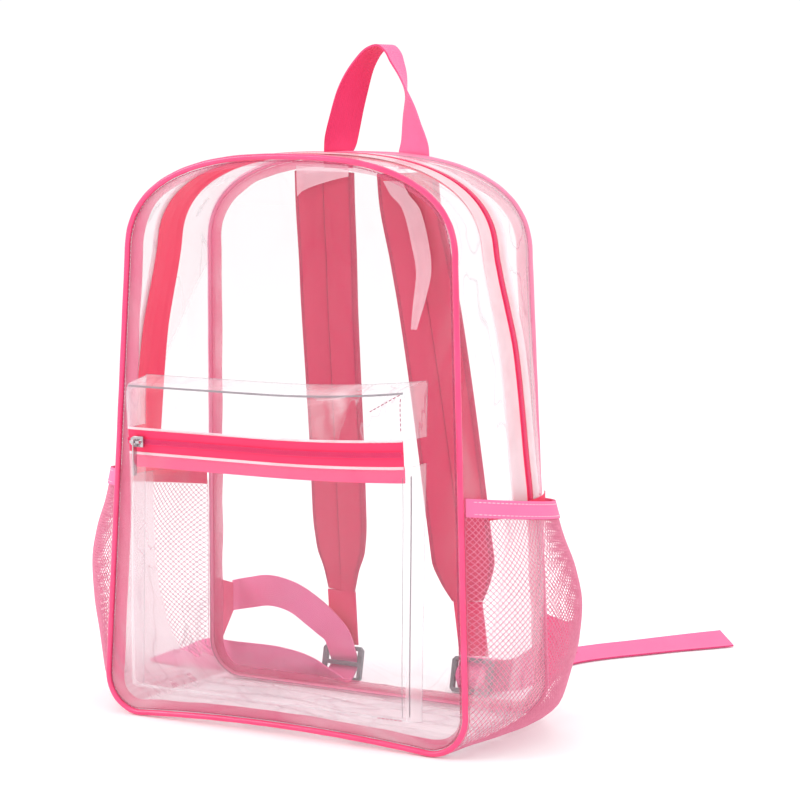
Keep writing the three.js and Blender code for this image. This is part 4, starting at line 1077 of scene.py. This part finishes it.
# %% Straps
strap_ends = {}
strap_rows, stitched_rows, binding_share, strap_fill = 91, 88, 0.88, 0.7
for name, side in (("left", -1), ("right", 1)):
    at, across, face, half, thick = strap_frames(name, side, np.linspace(0, 1, strap_rows))
    points = (
        at[:, None] + across[:, None] * (half[:, None] * ring[:, 0])[..., None]
        + face[:, None] * (thick[:, None] * ring[:, 1])[..., None]
    )
    pad = lay_grid(f"strap_pad_{name}", points)
    for finish in (strap_cloth, strap_trim):
        pad.data.materials.append(finish)
    outer = np.minimum(np.abs(ring[:-1, 0]), np.abs(ring[1:, 0])) >= binding_share
    pad.data.polygons.foreach_set("material_index", np.tile(outer, strap_rows - 1).astype(int))
    edit(pad, close_seams, close_ends)
    dress(pad, (), f"strap_{name}")
    for row, u, depth in (("middle", 0, 0.62), ("right", 0.87, 0.56), ("left", -0.87, 0.56)):
        for layer in (-1, 1):
            line = at + across * (half * u)[:, None] + face * (thick * layer * depth)[:, None]
            stitches(
                f"strap_{name}_stitches_{row}_{layer + 1}", line[:stitched_rows],
                face[:stitched_rows] * layer, dark_thread,
            )
    strap_ends[name] = at[-1]

# %% [markdown]
# The straps are sewn in behind the back panel. Where the panel lies over a strap, its reflection of the lamps
# is painted as glare: a pale patch with a slanted foot on the left strap and a long pale curve on the right
# one.

# %% Painted glare over the straps
def painted_glare(side, x, z, stand):
    """Painted glare: a pale sheet over a grid of places, just inside the back panel."""
    points = np.stack([x, back_y(z) - stand, z], axis=-1)
    cloth(f"painted_glare_{side}_strap", points, fold_wall, (soft_glare,))


share = np.linspace(0, 1, 13)
foot = np.stack([between(-57, -11, share), between(387, 403, share**0.6)], axis=1)
head = np.stack([between(-57, -11, share), np.full(13, 412.0)], axis=1)
patch = np.stack([between(foot, head, part) for part in np.linspace(0, 1, 5)])
painted_glare("left", patch[..., 0], patch[..., 1], stand=2.2)
curve = [
    [0, 27, 400, 16], [1, 33, 390, 16], [2, 42, 380, 15], [3, 49, 356, 15], [4, 52, 334, 13],
    [5, 48, 311, 10], [6, 43, 289, 5],
]
rows = read_table(curve, np.linspace(0, 6, 40))
reach = np.linspace(-0.5, 0.5, 7)[None, :] * rows[:, 2:3]
painted_glare("right", rows[:, :1] + reach, np.repeat(rows[:, 1:2], 7, axis=1), stand=2.4 - 0.4 * np.cos(reach))

# %% [markdown]
# ## Ladder locks
# A ladder lock is a moulded frame with two slots. The solid already has its shape, so its mesh is copied,
# its loose triangles are merged and its flat faces joined, and a bevel gives the soft edges of a moulding.
# The sliders and pulls of both zips are finished in the same way.

# %% Moulded copies
def bevelled_copy(name, node, bevel, finish):
    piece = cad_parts[node].copy()
    piece.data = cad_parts[node].data.copy()
    for key in list(piece.keys()):
        del piece[key]
    bpy.context.scene.collection.objects.link(piece)
    piece.parent = None
    piece.name = piece.data.name = name
    piece.data.materials.clear()
    join_flat_faces = partial(bpy.ops.mesh.dissolve_limited, angle_limit=math.radians(2))
    edit(piece, close_seams, join_flat_faces, face_out)
    shape_with(piece, "BEVEL", width=bevel * MM, segments=3, limit_method="ANGLE", angle_limit=0.5)
    dress(piece, (finish,), node)


lock_bevel, slider_bevel, pull_bevel = 0.7, 0.35, 0.3
for name in ("left", "right"):
    bevelled_copy(f"ladder_lock_{name}_moulding", f"ladder_lock_{name}", lock_bevel, acetal)
for name in ("pocket", "main"):
    bevelled_copy(f"{name}_slider_casting", f"{name}_slider", slider_bevel, nickel)
    bevelled_copy(f"{name}_pull_plate", f"{name}_pull", pull_bevel, nickel)

# %% Routes of the webbing
buckle_height, buckle_bar, buckle_wall, lock_tilt = 28, 3.4, 4, math.radians(12)
lock_shift = {"left": (-0.5, 2), "right": (3, 2)}
# Painted light: the left adjuster is painted 0.7 and the wing tabs 0.3 of the way to pale pink, lighter than
# the lamps leave them
adjuster_painted_light, wing_tab_painted_light = {"left": 0.7, "right": 0.0}, 0.3
adjuster_rows, strip_rows, tab_steps, tab_wall = 260, 15, 9, 1.4
lock_up = np.array([0, math.sin(lock_tilt), math.cos(lock_tilt)])
lock_front = np.array([0, -math.cos(lock_tilt), math.sin(lock_tilt)])
anchor_routes = {
    "left": [
        [-0.977, 0.21, 2.36, 0, 0, 1], [-0.965, 0.258, 2.36, 0, 0, 1], [-0.885, 0.277, 2.46, 0, 0, 1],
        [-0.774, 0.234, 2.62, 0, 0, 1], [-0.656, 0.19, 2.64, 0, 0, 1], [-0.55, 0.162, 2.52, 0.1, 0, 1],
        [-0.459, 0.155, 2.24, 0.35, 0, 0.9], [-0.385, 0.172, 1.88, 0.7, 0, 0.6],
        [-0.33, 0.2, 1.48, 1, 0, 0.2],
    ],
    "right": [
        [1.03, 0.205, 2.24, 0, 0, -1], [1.02, 0.265, 2.24, 0, 0, -1], [0.955, 0.327, 2.02, 0, 0, -1],
        [0.859, 0.356, 1.56, 0, 0, -1], [0.76, 0.368, 1.1, 0, 0, -1], [0.682, 0.378, 0.776, 0, 0, -1],
        [0.603, 0.403, 0.576, 0, -0.15, -1], [0.541, 0.424, 0.49, 0.25, -0.3, -0.92],
        [0.489, 0.432, 0.435, 0.55, -0.37, -0.75], [0.448, 0.421, 0.33, 0.8, -0.28, -0.53],
        [0.425, 0.396, 0.18, 0.96, -0.12, -0.25], [0.418, 0.36, 0.084, 1, 0, 0],
    ],
}
tail_routes = {
    "left": [
        [-0.318, 0.162, 0.072, 1, 0, 0], [-0.331, 0.122, 0.18, 0.93, -0.2, 0.25],
        [-0.361, 0.086, 0.31, 0.75, -0.38, 0.55], [-0.407, 0.065, 0.43, 0.45, -0.35, 0.82],
        [-0.466, 0.061, 0.48, 0.15, -0.2, 0.97], [-0.538, 0.076, 0.5, 0, -0.1, 1],
        [-0.656, 0.104, 0.5, 0, 0, 1], [-0.787, 0.104, 0.5, 0, 0, 1], [-0.918, 0.097, 0.5, 0, 0, 1],
        [-1.05, 0.112, 0.48, 0, 0.3, 1], [-1.18, 0.133, 0.38, 0, 0.7, 0.7],
        [-1.31, 0.162, 0.2, 0, 0.95, 0.35], [-1.44, 0.19, 0.07, 0, 1, 0.08],
    ],
    "right": [
        [0.418, 0.385, 0.94, 1, 0, 0], [0.422, 0.45, 0.93, 1, 0, 0], [0.433, 0.522, 0.72, 1, 0, 0],
        [0.44, 0.594, 0.34, 1, 0, 0], [0.453, 0.68, 0.06, 1, 0, 0], [0.462, 0.8, 0.01, 1, 0, 0],
        [0.479, 1.08, 0.05, 1, -0.1, -0.08], [0.538, 1.335, 0.12, 0.92, -0.35, -0.22],
        [0.636, 1.53, 0.13, 0.83, -0.53, -0.25], [0.767, 1.723, 0.14, 0.8, -0.58, -0.26],
        [0.898, 1.917, 0.15, 0.8, -0.58, -0.29], [1.016, 2.068, 0.17, 0.8, -0.6, -0.33],
        [1.118, 2.205, 0.18, 0.8, -0.6, -0.35],
    ],
}


def route(table):
    across, behind, up, *hint = np.array(table).T
    floor_clear = webbing_wall / 2 + gap
    at = np.c_[across * base_width / 2, back_y(0) + behind * base_depth, up * webbing_width + floor_clear]
    return np.c_[at, unit(np.array(hint).T)].tolist()


def threaded(lock_at, side):
    """Stations round the lock's middle bar; side 1 has both ends in front of the lock, -1 behind it."""
    slot_half = (buckle_height - 3 * buckle_bar) / 4
    reach = buckle_wall / 2 + webbing_wall / 2 + 2 * gap
    slot_end, slot_middle, ease = 2 * slot_half + buckle_bar / 2, slot_half + buckle_bar / 2, gap * 2 / 3
    steps = [
        (slot_end - ease, reach), (slot_middle, 0), (buckle_bar / 2 + ease, -reach),
        (-buckle_bar / 2 - ease, -reach), (-slot_middle, 0), (ease - slot_end, reach),
    ]
    return [
        [*(lock_at + lock_up * side * up + lock_front * side * out), 1, 0, 0] for up, out in steps
    ]


print("stations of the left adjuster:", len(anchor_routes["left"]) + len(tail_routes["left"]) + 6)

# %% Lock strips, adjusters and wing tabs
lock_rise = (lock_up[2] * buckle_height + lock_front[2] * buckle_wall) / 2
tab_seam_ends = (0.8, 3.2)
tab_edges = {
    "left": [[-0.977, 0.2065, 1.89], [-0.977, 0.2065, 2.83]],
    "right": [[1.03, 0.2015, 1.76], [1.03, 0.2015, 2.72]],
}
for name, side in (("left", -1), ("right", 1)):
    end = strap_ends[name]
    lock_at = np.array([end[0] + lock_shift[name][0], end[1] + lock_shift[name][1], lock_rise + gap])
    bar_top = lock_at + lock_up * (buckle_height / 2 + webbing_wall)
    rows = [[*(end + (bar_top - end) * part), 1, 0, 0] for part in (0.01, 0.35, 0.7, 1)]
    faces = (webbing_back, webbing_back)
    webbing(f"lock_strip_{name}_webbing", rows, strip_rows, f"lock_strip_{name}", faces)
    rows = route(anchor_routes[name]) + threaded(lock_at, -side) + route(tail_routes[name])
    faces, painted_lighter = (webbing_face, webbing_face), adjuster_painted_light[name]
    webbing(f"adjuster_{name}_webbing", rows, adjuster_rows, f"adjuster_{name}", faces, painted_lighter)
    seam = []
    for up in tab_seam_ends:
        z = up * webbing_width
        x = float(outline_x(np.array(z), back_base_width, back_top_width))
        seam.append([side * x, back_y(z) + piping_radius + 2 * gap, z])
    edge = [
        [a * base_width / 2, back_y(0) + b * base_depth, c * webbing_width]
        for a, b, c in tab_edges[name]
    ]
    (low_seam, high_seam), (low_edge, high_edge) = np.array(seam), np.array(edge)
    across = np.linspace(0, 1, tab_steps)[:, None]
    foot, top = between(low_seam, low_edge, across), between(high_seam, high_edge, across)
    points = np.stack([between(foot, top, share) for share in np.linspace(0, 1, tab_steps)])
    cloth(
        f"wing_tab_{name}_webbing", points, tab_wall,
        (webbing_back, webbing_back, webbing_edge), f"wing_tab_{name}", wing_tab_painted_light,
    )
